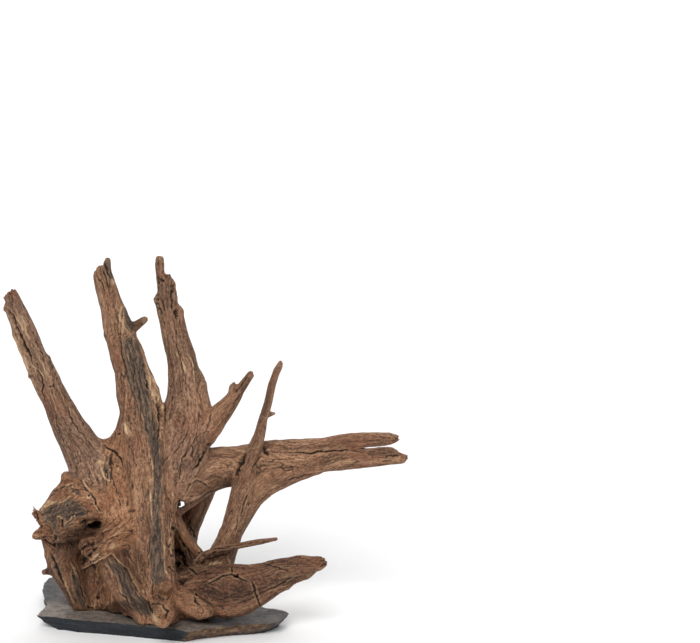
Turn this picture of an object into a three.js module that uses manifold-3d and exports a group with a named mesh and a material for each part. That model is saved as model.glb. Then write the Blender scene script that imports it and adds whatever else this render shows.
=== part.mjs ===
import * as THREE from 'three';
import Module from 'manifold-3d';

// Driftwood stump with its roots and limbs, standing on a slate plate.
// Millimetres, +Z up, X along the width, -Y towards the front.
// The origin is on the flat underside of the slate, under the stump.

// Driving dimensions
const SLATE_THICKNESS = 10;
const SAW_GAP = 0.3;
const WOOD_FLOOR = SLATE_THICKNESS + SAW_GAP;
const RING_STEP = 9.5;
const STEP_PER_WIDTH = 1;
const WOOD_SIDES = 12;
const TALLEST_TIP = 258;
const WIDEST_REACH = 172;

// Finishes
const WOOD_COLOUR = '#7b583f';
const SLATE_COLOUR = '#5d5f60';

const wasm = await Module();
wasm.setup();

// Repeatable scatter between -1 and 1 for one corner of one piece
function scatter(index, seed) {
  const wave = Math.sin(index * 12.9898 + seed * 78.233) * 43758.5453;
  return 2 * (wave - Math.floor(wave)) - 1;
}

// A closed solid from rings of corners and a middle point at each end
function closeRings(rings, firstMiddle, lastMiddle) {
  const sides = rings[0].length;
  const corners = rings.flat();
  const first = corners.push(firstMiddle) - 1;
  const last = corners.push(lastMiddle) - 1;
  const faces = [];
  const lastRing = (rings.length - 1) * sides;
  for (let side = 0; side < sides; side += 1) {
    const next = (side + 1) % sides;
    for (let row = 0; row < lastRing; row += sides) {
      faces.push(row + side, row + next, row + sides + next);
      faces.push(row + side, row + sides + next, row + sides + side);
    }
    faces.push(first, next, side);
    faces.push(last, lastRing + side, lastRing + next);
  }
  const geometry = new THREE.BufferGeometry().setFromPoints(corners);
  geometry.setIndex(faces);
  return geometry;
}

function toSolid(geometry) {
  const vertProperties = new Float32Array(geometry.attributes.position.array);
  const triVerts = new Uint32Array(geometry.index.array);
  const solid = new wasm.Manifold(new wasm.Mesh({ numProp: 3, vertProperties, triVerts }));
  return solid.volume() < 0 ? flipped(vertProperties, triVerts) : solid;
}

// The same solid with its faces turned the right way out
function flipped(vertProperties, triVerts) {
  const turned = triVerts.slice();
  for (let face = 0; face < turned.length; face += 3) {
    turned[face] = triVerts[face + 1];
    turned[face + 1] = triVerts[face];
  }
  return new wasm.Manifold(new wasm.Mesh({ numProp: 3, vertProperties, triVerts: turned }));
}

// A limb along its stations, each [x, y, z, half width, half depth].
// flutes and fluteDepth groove it lengthways, lump swells it, and jag breaks its last end.
function limb(stations, options = {}) {
  const settings = {
    sides: WOOD_SIDES, step: RING_STEP, flutes: 3, fluteDepth: 0.07, lump: 0.05, twist: 0.02,
    seed: 1, jag: 0, upright: false, ...options,
  };
  const { sides, flutes, fluteDepth, lump, seed, jag } = settings;
  const path = new THREE.CatmullRomCurve3(stations.map(([x, y, z]) => new THREE.Vector3(x, y, z)));
  const sizes = new THREE.CatmullRomCurve3(
    stations.map(([, , , wide, deep]) => new THREE.Vector3(wide, deep, 0)),
  );
  const spans = stations.length - 1;
  const places = [0];
  for (let span = 0; span < spans; span += 1) {
    const length = path.points[span].distanceTo(path.points[span + 1]);
    const width = 0.5 * (stations[span][3] + stations[span + 1][3]);
    const rows = Math.max(1, Math.round(length / Math.max(settings.step, STEP_PER_WIDTH * width)));
    for (let row = 1; row <= rows; row += 1) places.push((span + row / rows) / spans);
  }
  const across = settings.upright ? new THREE.Vector3(0, 0, 1) : new THREE.Vector3(0, 1, 0);
  const reachAlong = path.getLength();
  const rings = places.map((place, row) => {
    const middle = path.getPoint(place);
    const run = place * reachAlong;
    const size = sizes.getPoint(place);
    const along = path.getTangent(place);
    const sideways = along.clone().cross(across).normalize();
    const inwards = sideways.clone().cross(along).normalize();
    const broken = row === places.length - 1 ? jag : 0;
    return Array.from({ length: sides }, (_, side) => {
      const angle = (side / sides) * 2 * Math.PI;
      const groove = fluteDepth * Math.cos(flutes * angle + settings.twist * run + seed);
      const swell = lump * Math.sin(0.09 * run + 2 * angle + 3 * seed);
      const dent = 0.5 * lump * scatter(row * sides + side, seed);
      const reach = 1 + groove + swell + dent;
      return middle.clone()
        .addScaledVector(sideways, Math.cos(angle) * Math.max(size.x, 0.4) * reach)
        .addScaledVector(inwards, Math.sin(angle) * Math.max(size.y, 0.4) * reach)
        .addScaledVector(along, broken * scatter(side * 7, seed + 5));
    });
  });
  const startPoint = path.getPoint(0).addScaledVector(path.getTangent(0), -0.45 * stations[0][3]);
  const endSize = stations[spans][3];
  const endPoint = path.getPoint(1).addScaledVector(path.getTangent(1), jag ? -0.5 * jag : 0.45 * endSize);
  return toSolid(closeRings(rings, startPoint, endPoint));
}

// A rounded lump, or the hollow that it leaves
function boulder([x, y, z], [wide, deep, tall], seed) {
  const rows = 5;
  const sides = 8;
  const rings = [];
  for (let row = 1; row < rows; row += 1) {
    const lift = (row / rows) * Math.PI;
    rings.push(Array.from({ length: sides }, (_, side) => {
      const angle = (side / sides) * 2 * Math.PI;
      const reach = 1 + 0.12 * scatter(row * sides + side, seed);
      return new THREE.Vector3(
        x + wide * Math.sin(lift) * Math.cos(angle) * reach,
        y + deep * Math.sin(lift) * Math.sin(angle) * reach,
        z - tall * Math.cos(lift) * reach,
      );
    }));
  }
  return toSolid(closeRings(rings, new THREE.Vector3(x, y, z - tall), new THREE.Vector3(x, y, z + tall)));
}

// A saw cut as thin as the gap, square to the direction
function sawCut([x, y, z], direction, radius) {
  const blade = new THREE.CylinderGeometry(radius, radius, SAW_GAP, 20, 1);
  const turn = new THREE.Quaternion().setFromUnitVectors(
    new THREE.Vector3(0, 1, 0),
    new THREE.Vector3(...direction).normalize(),
  );
  blade.applyQuaternion(turn).translate(x, y, z);
  return toSolid(welded(blade));
}

// Merges the corners that share a place
function welded(geometry) {
  const found = new Map();
  const corners = [];
  const position = geometry.attributes.position;
  const renamed = Array.from({ length: position.count }, (_, index) => {
    const corner = new THREE.Vector3().fromBufferAttribute(position, index);
    const key = corner.toArray().map((value) => Math.round(value * 1e4)).join();
    if (!found.has(key)) found.set(key, corners.push(corner) - 1);
    return found.get(key);
  });
  const faces = [];
  for (let face = 0; face < geometry.index.count; face += 3) {
    const [a, b, c] = [0, 1, 2].map((step) => renamed[geometry.index.getX(face + step)]);
    if (a !== b && b !== c && c !== a) faces.push(a, b, c);
  }
  const merged = new THREE.BufferGeometry().setFromPoints(corners);
  merged.setIndex(faces);
  return merged;
}

// The long root that leans out to the left, with the sliver split off its outer side
function leftRoot() {
  const main = [
    [-24, -12, 6, 18, 16], [-27, -10, 45, 20, 18], [-34, -10, 81, 24, 20], [-45.5, -12, 107, 20, 17],
    [-57.5, -15, 128, 14, 13], [-65, -18, 144, 11.6, 10], [-73, -20, 162, 9.7, 8.5],
    [-80, -22, 180, 8.6, 7.6], [-87, -24, 197, 7.5, 6.6], [-93.5, -27, 215, 6.4, 5.6],
    [-100.4, -28, 231, 5.8, 5], [-103, -28, 237, 5, 4.2],
  ];
  const sliver = [
    [-77, -22, 158, 2.6, 3], [-80.5, -23, 163, 3.2, 4], [-85.5, -24, 174, 2.8, 4.2],
    [-90.5, -25, 186, 2.8, 4.2], [-95.5, -26, 199, 2.6, 4], [-100.5, -27, 214, 2, 3],
    [-105.8, -27, 226.5, 0.8, 1.2],
  ];
  return [
    limb(main, { seed: 3, jag: 2.4 }),
    limb(sliver, { seed: 8, sides: 7 }),
  ];
}

// The upright root in the middle, which runs down the front of the stump
function middleRoot() {
  const main = [
    [0, -38, 6, 12, 12], [-2, -36, 30, 13, 16], [-5.5, -30, 53, 15, 19], [-8, -22, 79, 16, 20],
    [-10.5, -16, 105, 19, 20], [-16, -10, 131, 20, 17], [-14.5, -7, 151, 16, 14], [-17.5, -4, 163, 14.5, 13],
    [-22.5, -2, 179, 12.6, 11], [-25.5, 0, 193, 11.6, 9.5], [-31, 2, 207, 10, 8.5],
    [-35, 4, 219.5, 8.8, 7.5], [-38.7, 5, 230, 8, 6.8], [-42, 5, 243.5, 7.4, 5.5], [-42.6, 5, 250, 4.4, 3.2],
  ];
  const spur = [[-27, 1, 205, 5, 4], [-18.5, 2, 210.5, 3.2, 3], [-12, 2, 214.8, 1.2, 1.2]];
  const splinter = [
    [-33, 3, 229, 2, 2.4], [-35, 4, 238, 2.4, 2.6], [-37.4, 5, 247, 2.3, 2.4], [-38.6, 6, 254, 1.8, 1.4],
  ];
  return [
    limb(main, { seed: 5, fluteDepth: 0.08, jag: 2.6 }),
    limb(spur, { seed: 2, sides: 8 }),
    limb(splinter, { seed: 4, sides: 5 }),
  ];
}

// The tallest root, with a thin tongue standing at its tip
function tallRoot() {
  const main = [
    [2, -16, 88, 8, 12], [6, -12, 100, 14, 15], [11.5, -8, 117, 19, 17], [15, -4, 137, 19.5, 16],
    [16.5, 0, 158, 15, 13.5], [16, 2, 167, 13.3, 12], [13.5, 4, 178, 10.7, 10], [11.5, 6, 187, 10.3, 9.5],
    [7, 8, 202, 9.3, 8.5], [4, 10, 216, 8.6, 8], [1.4, 11, 225, 7.4, 7], [1.6, 12, 233, 6.4, 6],
    [2.4, 12, 239, 4.8, 4.6], [1.6, 12, 242.5, 3, 3.2],
  ];
  const tongue = [
    [-1.5, 12, 222, 3.2, 2.8], [-1.9, 13, 230, 3.3, 2.6], [-2.6, 14, 240, 3.2, 2.4],
    [-3, 14, 250, 3, 2.2], [-3.2, 14, TALLEST_TIP - 2, 2.5, 1.8],
  ];
  return [
    limb(main, { seed: 7, fluteDepth: 0.08, jag: 2 }),
    limb(tongue, { seed: 1, sides: 7 }),
  ];
}

// The short root with two prongs
function forkedRoot() {
  const main = [
    [12, -5, 124, 13, 11], [18.5, -6, 130.5, 13, 11], [28.5, -8, 137, 11, 10], [36, -10, 145.5, 8.5, 8],
    [43.5, -12, 154.5, 6.6, 6.3], [49, -13, 162, 5.4, 5.4], [53, -14, 167.5, 3.4, 3.4],
    [57.2, -14, 174, 3, 3], [60.5, -14, 179, 2, 2],
  ];
  const prong = [
    [47, -13, 159, 4, 4], [48.3, -14, 166, 3.2, 3.2], [47.6, -14, 170.5, 2.3, 2.3], [49.5, -14, 173, 1, 1],
  ];
  return [
    limb(main, { seed: 6, sides: 10 }),
    limb(prong, { seed: 9, sides: 7 }),
  ];
}

// The heavy arm to the right, which ends in two prongs with a slit between them
function splitArm() {
  const main = [
    [8, -6, 109, 15, 15], [15, -4, 108.5, 16, 16], [29, -2, 108, 15, 14], [43, 0, 110.5, 15, 13],
    [57, 0, 112, 15, 13], [71, 0, 112.5, 16, 13], [85, -2, 114.5, 15.5, 12], [99, -4, 117, 14, 11.5],
    [116, -8, 121, 11, 9], [127, -10, 123.5, 7, 7], [134, -11, 124.5, 2.5, 2.5],
  ];
  const upper = [
    [106, -8, 125, 6, 8], [130, -11, 130.4, 6, 7], [144.6, -14, 132.4, 4.8, 5], [157.7, -14, 133, 4.2, 4],
    [163, -14, 132.4, 1.6, 1.6],
  ];
  const lower = [
    [106, -8, 115, 7, 8], [130, -11, 118, 7, 8], [144.8, -14, 119.3, 6.3, 6], [158.7, -14, 120.4, 6, 5.5],
    [166.5, -14, 119, 3.6, 3.5], [WIDEST_REACH - 2, -14, 119.5, 1.2, 1.2],
  ];
  return [
    limb(main, { seed: 2 }),
    limb(upper, { seed: 4, sides: 8 }),
    limb(lower, { seed: 8, sides: 9 }),
  ];
}

// The thin root that crosses the arm and thickens into a strut below it
function thinRootAndStrut() {
  const main = [
    [34.5, -10, 33, 14, 11], [40, -9, 46.5, 10.6, 10], [45.5, -9, 59, 9, 9], [51, -10, 74, 8.8, 9],
    [55, -11, 88.5, 9, 9], [56.5, -12, 99.5, 8, 8], [58.2, -13, 112.5, 5.5, 5.5], [62.3, -13, 124, 4.6, 4.6],
    [66.4, -13, 134.5, 4, 4], [69, -11, 146, 3, 3], [72.6, -9, 157.5, 2.6, 2.6], [75.3, -7, 169.7, 2.6, 2.6],
    [78.7, -6, 180, 2.4, 2.4], [81.4, -6, 185.6, 1.1, 1.1],
  ];
  const nub = [[69, -10, 148, 2, 2], [74, -9, 149.5, 1.7, 1.7], [77.5, -9, 150, 0.8, 0.8]];
  const web = [
    [88, -3, 110, 12, 10], [73, -6, 102, 12, 10], [62.5, -9, 90, 8, 9], [56, -10, 75, 5.5, 7],
    [52, -10, 62, 3, 5],
  ];
  return [
    limb(main, { seed: 5, sides: 9 }),
    limb(nub, { seed: 3, sides: 6 }),
    limb(web, { seed: 1, sides: 9 }),
  ];
}

// The root behind the arch
function rearRoot() {
  const main = [
    [31, 8, 106, 11, 9], [29, 15, 97, 10, 9], [23.5, 23, 80, 9.6, 8], [16, 30, 60, 10.6, 8],
    [12.5, 34, 43, 10.6, 9], [14, 34, 25, 13, 12], [17, 30, 6, 15, 14],
  ];
  return [limb(main, { seed: 4, sides: 10 })];
}

// The thick foot that lifts off the slate to the right, and the twig above it
function footAndTwig() {
  const foot = [
    [2, -16, 20, 14, 16], [15, -22, 22, 16, 16], [29, -28, 27, 17, 17], [43, -35, 29, 18.5, 17],
    [53, -36, 30.5, 18.5, 17], [63.5, -37, 34, 16, 15.5], [73, -38, 38.5, 12.8, 13],
    [83, -39, 43.5, 10.4, 11], [93.5, -40, 47.5, 8, 8.6], [102, -41, 50, 6, 6.2],
    [109, -42, 51, 3.8, 3.6], [112, -42, 49, 1.4, 1.4],
  ];
  const twig = [
    [15, -18, 34, 3, 3], [18.5, -22, 39.5, 2.6, 2.6], [27.5, -24, 52, 2.4, 2.4], [39.5, -26, 57.5, 2.3, 2.3],
    [53, -27, 60, 2.2, 2.2], [67, -28, 63, 1.9, 1.9], [79, -28, 65, 1, 1],
  ];
  const heel = [[6, -20, 14, 14, 12], [14, 5, 16, 14, 12], [17, 30, 18, 13, 13]];
  return [
    limb(foot, { seed: 6 }),
    limb(twig, { seed: 2, sides: 6, lump: 0.1 }),
    limb(heel, { seed: 3, sides: 8, upright: true }),
  ];
}

// The body of the stump and its back, which the roots grow out of
function stumpBody() {
  const core = [[-12, 0, 122, 17, 14], [-16, 2, 84, 23, 22], [-19, 2, 40, 25, 24], [-19, 2, 6, 27, 26]];
  const face = [
    [-31, -9, 130, 12, 11], [-32, -14, 100, 20, 17.5], [-29, -20, 68, 18, 19], [-21, -27, 40, 14, 16],
    [-17, -30, 6, 12, 13],
  ];
  const saddle = [[-2, -3, 152, 7, 8], [0, -8, 132, 12, 14], [1, -12, 110, 14, 17.5], [0, -14, 86, 8, 15]];
  const armRoot = [
    [0, -12, 80, 9, 14], [11, -9, 95, 15, 17], [26, -5, 106, 15.5, 16], [50, 0, 111, 14.5, 12.5],
  ];
  const backLeft = [
    [-14, 1, 146, 8, 6], [-18, 9, 122, 17, 12], [-25, 18, 90, 19, 13], [-33, 26, 46, 18, 13],
    [-42, 33, 6, 17, 13],
  ];
  const backRight = [
    [12, 1, 146, 7, 6], [4, 9, 122, 13, 11], [-7, 18, 98, 13, 11], [-12, 24, 74, 12, 11],
    [-15, 32, 38, 13, 12], [-16, 39, 6, 15, 12],
  ];
  const side = [[-34, -4, 104, 10, 9], [-43, 0, 80, 17, 15], [-50, 8, 44, 15, 14], [-57, 17, 6, 13, 12]];
  const stub = [
    [-26, 12, 98, 12, 12], [-38, 30, 102, 8.5, 8.5], [-45, 44, 105, 7.5, 7.5], [-50, 54, 108, 7, 7],
  ];
  return [
    limb(core, { seed: 9, sides: 10, step: 22 }),
    limb(face, { seed: 3, fluteDepth: 0.03, lump: 0.03 }),
    limb(saddle, { seed: 5, sides: 10, fluteDepth: 0.03, lump: 0.03 }),
    limb(armRoot, { seed: 8, sides: 10, fluteDepth: 0.03, lump: 0.03 }),
    limb(backLeft, { seed: 2, sides: 10, flutes: 4, step: 18 }),
    limb(backRight, { seed: 6, sides: 10, step: 18 }),
    limb(side, { seed: 7, sides: 9, step: 18 }),
    limb(stub, { seed: 5, sides: 8, jag: 3 }),
  ];
}

// The blocky knot on the left, its splinters, and the legs below it
function knotAndLegs() {
  const knot = [
    [-42, -10, 87, 21, 20], [-56, -24, 87, 21.5, 21], [-64, -31, 86, 20, 19],
    [-70.5, -36, 81.2, 16.2, 17], [-76.5, -41, 78.5, 13.2, 13.5], [-80, -43, 77, 10.8, 11.5],
  ];
  const spike = [
    [-78, -43, 80.5, 7, 5], [-82.6, -45, 85, 4.8, 3.2], [-86.2, -46, 89, 2.8, 2], [-88.7, -46, 92, 0.7, 0.8],
  ];
  const stub = [[-76, -43, 74.5, 5, 5], [-84, -45, 73, 4, 4], [-88, -45, 71.6, 2.8, 2.8]];
  const nub = [[-70, -22, 41.5, 4.4, 4.2], [-77, -24, 40.5, 3.2, 3], [-83.8, -25, 41, 1.3, 1.3]];
  const leftLeg = [
    [-70.5, -29, 65, 15, 11], [-71.8, -25, 56, 12.6, 10.5], [-70.5, -22, 47, 10.4, 10],
    [-65.5, -18, 34, 9.5, 9], [-59.5, -13, 21, 8.5, 8], [-54, -10, 6, 7.5, 7],
  ];
  const cave = [[-48.5, -6, 54, 20, 14], [-45.5, -4, 22, 18, 14], [-42, -4, 6, 17, 14]];
  const brow = [
    [-14, -14, 78, 12, 12], [-27, -27, 74, 12.5, 11], [-38, -43, 68, 12, 9.5], [-50, -54, 62, 11.5, 7.5],
  ];
  const middleLeg = [
    [-38, -42, 63, 10, 10], [-32, -44, 45, 9, 10], [-21, -44, 28.5, 10, 11], [-11, -40, 13, 11, 12],
    [-9, -39, 4, 11, 12],
  ];
  return [
    limb(knot, { seed: 4, jag: 3, flutes: 5, fluteDepth: 0.05 }),
    limb(spike, { seed: 1, sides: 6 }),
    limb(stub, { seed: 3, sides: 8 }),
    limb(nub, { seed: 8, sides: 6 }),
    limb(leftLeg, { seed: 5, sides: 9 }),
    limb(cave, { seed: 2, sides: 9, fluteDepth: 0.03, lump: 0.03 }),
    limb(brow, { seed: 7, sides: 10, jag: 2.5 }),
    limb(middleLeg, { seed: 6, sides: 10 }),
    boulder([-65.6, -26, 108], [5.6, 6, 6], 2),
  ];
}

// Small knobs on the front and the strips that bridge the hollow
function knobsAndStrips() {
  const frontKnob = [[0, -38, 30, 10, 10], [0.5, -58, 27, 7, 6.6], [1.5, -75, 25, 6.6, 6.2]];
  const lowKnob = [
    [12, -40, 25, 9, 9], [20, -48, 23, 7.5, 7], [27, -50, 21, 6, 6], [33, -51, 20, 3.8, 4],
    [35, -51, 20, 1.5, 1.5],
  ];
  const strip = [
    [5, -20, 93, 4, 4], [7, -22, 86, 3.4, 4], [10, -21, 75.5, 3.4, 4], [16, -20, 63.5, 3.5, 4],
    [22.5, -18, 54.5, 3.6, 4], [29, -15, 45, 4.5, 5],
  ];
  return [
    limb(frontKnob, { seed: 3, sides: 10, upright: true, jag: 2 }),
    limb(lowKnob, { seed: 5, sides: 9 }),
    limb(strip, { seed: 2, sides: 6 }),
    boulder([2, -55, 39], [5.5, 6, 4.5], 4),
  ];
}

// Hollows and open cracks
function hollows() {
  const deepHole = [[-47, -62, 73, 6, 5], [-46, -38, 76, 5.6, 5.4], [-43, -16, 79, 3, 3]];
  const crotchGroove = [
    [1, -12, 166, 1, 3], [0, -20, 152, 1.6, 6], [-0.5, -26, 138, 1.6, 5], [-1, -31, 126, 0.6, 2],
  ];
  const armSlit = [
    [92, -17, 119.6, 0.3, 5], [118, -19, 124, 0.7, 9], [131, -12, 126.4, 0.8, 18], [174, -14, 127.2, 1.1, 18],
  ];
  const smallHole = [
    [13, -44, 93, 3.2, 2.6], [12.6, -12, 85.5, 3, 2.4], [12, 14, 79.5, 3, 2.4], [11.4, 40, 73, 3, 2.4],
  ];
  return [
    limb(deepHole, { seed: 3, sides: 9, upright: true, fluteDepth: 0 }),
    limb(smallHole, { seed: 6, sides: 6, upright: true, step: 30, fluteDepth: 0 }),
    limb(crotchGroove, { seed: 4, sides: 6, fluteDepth: 0 }),
    boulder([-54, -58, 66], [6, 5.5, 5], 2),
    boulder([-20, -34, 106], [2.6, 5, 3.6], 3),
    boulder([-21.5, -37, 88.5], [3.2, 5, 2.4], 6),
    limb(armSlit, { seed: 1, sides: 6, step: 24, fluteDepth: 0, lump: 0 }),
  ];
}

// Where the limbs part from the stump: a point on the cut, its direction and its radius
const FORKS = [
  [[-58.5, -15.5, 129], [-0.5, 0, 0.87], 16],
  [[-18.5, -4, 165.5], [-0.3, 0, 0.95], 16.4],
  [[17.6, 2, 168], [-0.25, 0, 0.97], 17.4],
  [[40.6, -11.3, 151.2], [0.62, 0, 0.78], 8.8],
  [[67.2, -12.7, 138], [0.25, 0, 0.97], 5.6],
  [[41, 0, 110], [1, 0, 0], 19.5],
  [[56, -10, 84], [0.3, 0, 0.95], 17.5],
  [[40.5, -9, 52], [0.33, 0, 0.94], 12.5],
  [[26, 19.5, 87], [0.2, -0.45, 0.87], 14],
  [[13, 34, 45], [0.15, -0.2, 0.95], 13.6],
  [[53.5, -36, 30], [1, 0, 0.1], 23],
  [[29.5, -24.3, 53.4], [0.85, -0.1, 0.5], 3.6],
];

// A point in each piece of wood, which gives the piece its name
const PIECES = {
  stump: [-18, 2, 60],
  left_root: [-80, -22, 180],
  middle_root: [-25.5, 0, 193],
  tall_root: [7, 8, 202],
  forked_root: [49, -13, 162],
  thin_root: [72.6, -9, 157.5],
  split_arm: [71, 0, 112.5],
  strut_root: [48, -10, 74],
  rear_root: [22, 28, 66],
  foot_stub: [74, -38, 36.5],
  twig: [53, -27, 60],
};

// The slate's top outline from the left tip round the front, each [x, y, undercut]
const SLATE_OUTLINE = [
  [-88.5, -26.5, 14], [-79, -29, 6], [-64, -34.5, 4], [-42.5, -41, 4], [-15.5, -50, 4], [7, -57, 4],
  [18, -65.5, 10], [28, -60, 11], [49, -52, 12], [72, -48, 14], [82, -43.5, 14], [88.5, -25.5, 8],
  [86.5, -18.5, 6], [80.5, -14, 5], [72, -11, 4], [62, 5, 4], [54, 30, 5], [38, 52, 5], [5, 64, 5],
  [-35, 70, 6], [-70, 72, 6], [-86.5, 67.5, 6], [-90, 49.5, 5], [-89.5, 37, 4], [-87, 19.5, 5],
  [-86, 7.5, 5], [-83, 0, 4], [-86, -14, 6],
];

function slatePlate() {
  const level = (height, share) => SLATE_OUTLINE.map(([x, y, undercut], index) => {
    const inset = undercut * share + (share > 0 && share < 1 ? scatter(index, 4) : 0);
    const pull = 1 - inset / Math.hypot(x, y);
    return new THREE.Vector3(x * pull, y * pull, height);
  });
  const rings = [level(0, 1), level(0.45 * SLATE_THICKNESS, 0.45), level(SLATE_THICKNESS, 0)];
  return toSolid(closeRings(rings, new THREE.Vector3(0, 0, 0), new THREE.Vector3(0, 0, SLATE_THICKNESS)));
}

// One body of wood: everything grown together, hollowed and trimmed flat over the slate
function wholeWood() {
  const grown = [
    ...stumpBody(), ...leftRoot(), ...middleRoot(), ...tallRoot(), ...forkedRoot(), ...splitArm(),
    ...thinRootAndStrut(), ...rearRoot(), ...footAndTwig(), ...knotAndLegs(), ...knobsAndStrips(),
  ].reduce((body, piece) => body.add(piece));
  const below = new THREE.BoxGeometry(400, 400, 100).translate(0, 0, WOOD_FLOOR - 50);
  return hollows().reduce((body, hollow) => body.subtract(hollow), grown).subtract(toSolid(welded(below)));
}

// The distance from a point to the nearest corner of a solid
function distanceTo(solid, point) {
  const { vertProperties, numProp } = solid.getMesh();
  let nearest = Infinity;
  for (let index = 0; index < vertProperties.length; index += numProp) {
    const corner = new THREE.Vector3().fromArray(vertProperties, index);
    nearest = Math.min(nearest, corner.distanceTo(point));
  }
  return nearest;
}

function toMesh(name, solid, colour, roughness) {
  const { vertProperties, triVerts } = solid.getMesh();
  const geometry = new THREE.BufferGeometry();
  geometry.setAttribute('position', new THREE.BufferAttribute(vertProperties, 3));
  geometry.setIndex(new THREE.BufferAttribute(triVerts, 1));
  geometry.computeVertexNormals();
  const material = new THREE.MeshStandardMaterial({ color: colour, roughness, metalness: 0 });
  const mesh = new THREE.Mesh(geometry, material);
  mesh.name = name;
  return mesh;
}

const driftwood = new THREE.Group();
const cutWood = FORKS.reduce((body, fork) => body.subtract(sawCut(...fork)), wholeWood());
const solids = cutWood.decompose();
for (const [name, place] of Object.entries(PIECES)) {
  const point = new THREE.Vector3(...place);
  const distances = solids.map((solid) => distanceTo(solid, point));
  const nearest = solids[distances.indexOf(Math.min(...distances))];
  driftwood.add(toMesh(name, nearest, WOOD_COLOUR, 0.85));
}
driftwood.add(toMesh('slate_base', slatePlate(), SLATE_COLOUR, 0.7));

export default driftwood;
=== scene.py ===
"""Weathered driftwood stump with its roots, fixed on a slate plate: the fine surface and the looks."""

import math
import random

import bmesh
import bpy
import numpy as np
from mathutils import Matrix, Vector


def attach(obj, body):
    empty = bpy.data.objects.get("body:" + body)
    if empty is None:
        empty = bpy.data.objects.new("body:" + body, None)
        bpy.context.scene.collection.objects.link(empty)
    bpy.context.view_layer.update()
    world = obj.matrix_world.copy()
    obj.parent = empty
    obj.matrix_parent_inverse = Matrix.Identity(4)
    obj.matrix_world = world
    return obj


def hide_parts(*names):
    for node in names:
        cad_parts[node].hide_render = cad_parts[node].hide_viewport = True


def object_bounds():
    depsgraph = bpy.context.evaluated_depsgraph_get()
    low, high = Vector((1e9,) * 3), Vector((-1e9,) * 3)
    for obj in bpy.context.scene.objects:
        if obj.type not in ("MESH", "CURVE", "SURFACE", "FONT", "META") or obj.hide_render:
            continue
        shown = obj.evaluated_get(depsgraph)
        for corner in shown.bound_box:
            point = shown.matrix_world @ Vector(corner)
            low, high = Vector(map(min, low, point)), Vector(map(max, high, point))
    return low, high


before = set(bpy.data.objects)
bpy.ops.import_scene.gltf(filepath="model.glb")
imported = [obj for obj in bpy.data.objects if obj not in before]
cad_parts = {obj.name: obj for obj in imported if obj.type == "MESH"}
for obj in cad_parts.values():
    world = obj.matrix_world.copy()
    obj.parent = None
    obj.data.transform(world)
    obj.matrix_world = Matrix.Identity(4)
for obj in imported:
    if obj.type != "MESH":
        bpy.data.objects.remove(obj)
cad_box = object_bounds()

MM = 0.001
PICTURE_WIDTH, PICTURE_HEIGHT = 700, 643

# Camera: where it stands, where it looks, and how long its lens is
CAMERA_PLACE = (36.7, -1500.0, 475.9)
CAMERA_YAW, CAMERA_PITCH, CAMERA_ROLL = 3.5436, -9.9034, 0.7182
FOCAL_PIXELS = 2187.6
SENSOR_WIDTH = 36.0

# Surface sizes, in millimetres
WOOD_VOXEL = 0.67
SLATE_VOXEL = 1.0
KERF_CLOSING = 0.32
WOOD_FLOOR = 10.12
SLATE_TOP = 10.0

# The wood's nodes and a point inside each
WOOD_PIECES = {
    "stump": (-18, 2, 60),
    "left_root": (-80, -22, 180),
    "middle_root": (-25.5, 0, 193),
    "tall_root": (7, 8, 202),
    "forked_root": (49, -13, 162),
    "thin_root": (72.6, -9, 157.5),
    "split_arm": (71, 0, 112.5),
    "strut_root": (48, -10, 74),
    "rear_root": (22, 28, 66),
    "foot_stub": (74, -38, 36.5),
    "twig": (53, -27, 60),
}

# Where the limbs part from the stump: a point on the cut, its direction and its radius
FORKS = [
    ((-58.5, -15.5, 129), (-0.5, 0, 0.87), 16),
    ((-18.5, -4, 165.5), (-0.3, 0, 0.95), 16.4),
    ((17.6, 2, 168), (-0.25, 0, 0.97), 17.4),
    ((40.6, -11.3, 151.2), (0.62, 0, 0.78), 8.8),
    ((67.2, -12.7, 138), (0.25, 0, 0.97), 5.6),
    ((41, 0, 110), (1, 0, 0), 19.5),
    ((56, -10, 84), (0.3, 0, 0.95), 17.5),
    ((40.5, -9, 52), (0.33, 0, 0.94), 12.5),
    ((26, 19.5, 87), (0.2, -0.45, 0.87), 14),
    ((13, 34, 45), (0.15, -0.2, 0.95), 13.6),
    ((53.5, -36, 30), (1, 0, 0.1), 23),
    ((29.5, -24.3, 53.4), (0.85, -0.1, 0.5), 3.6),
]

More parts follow.
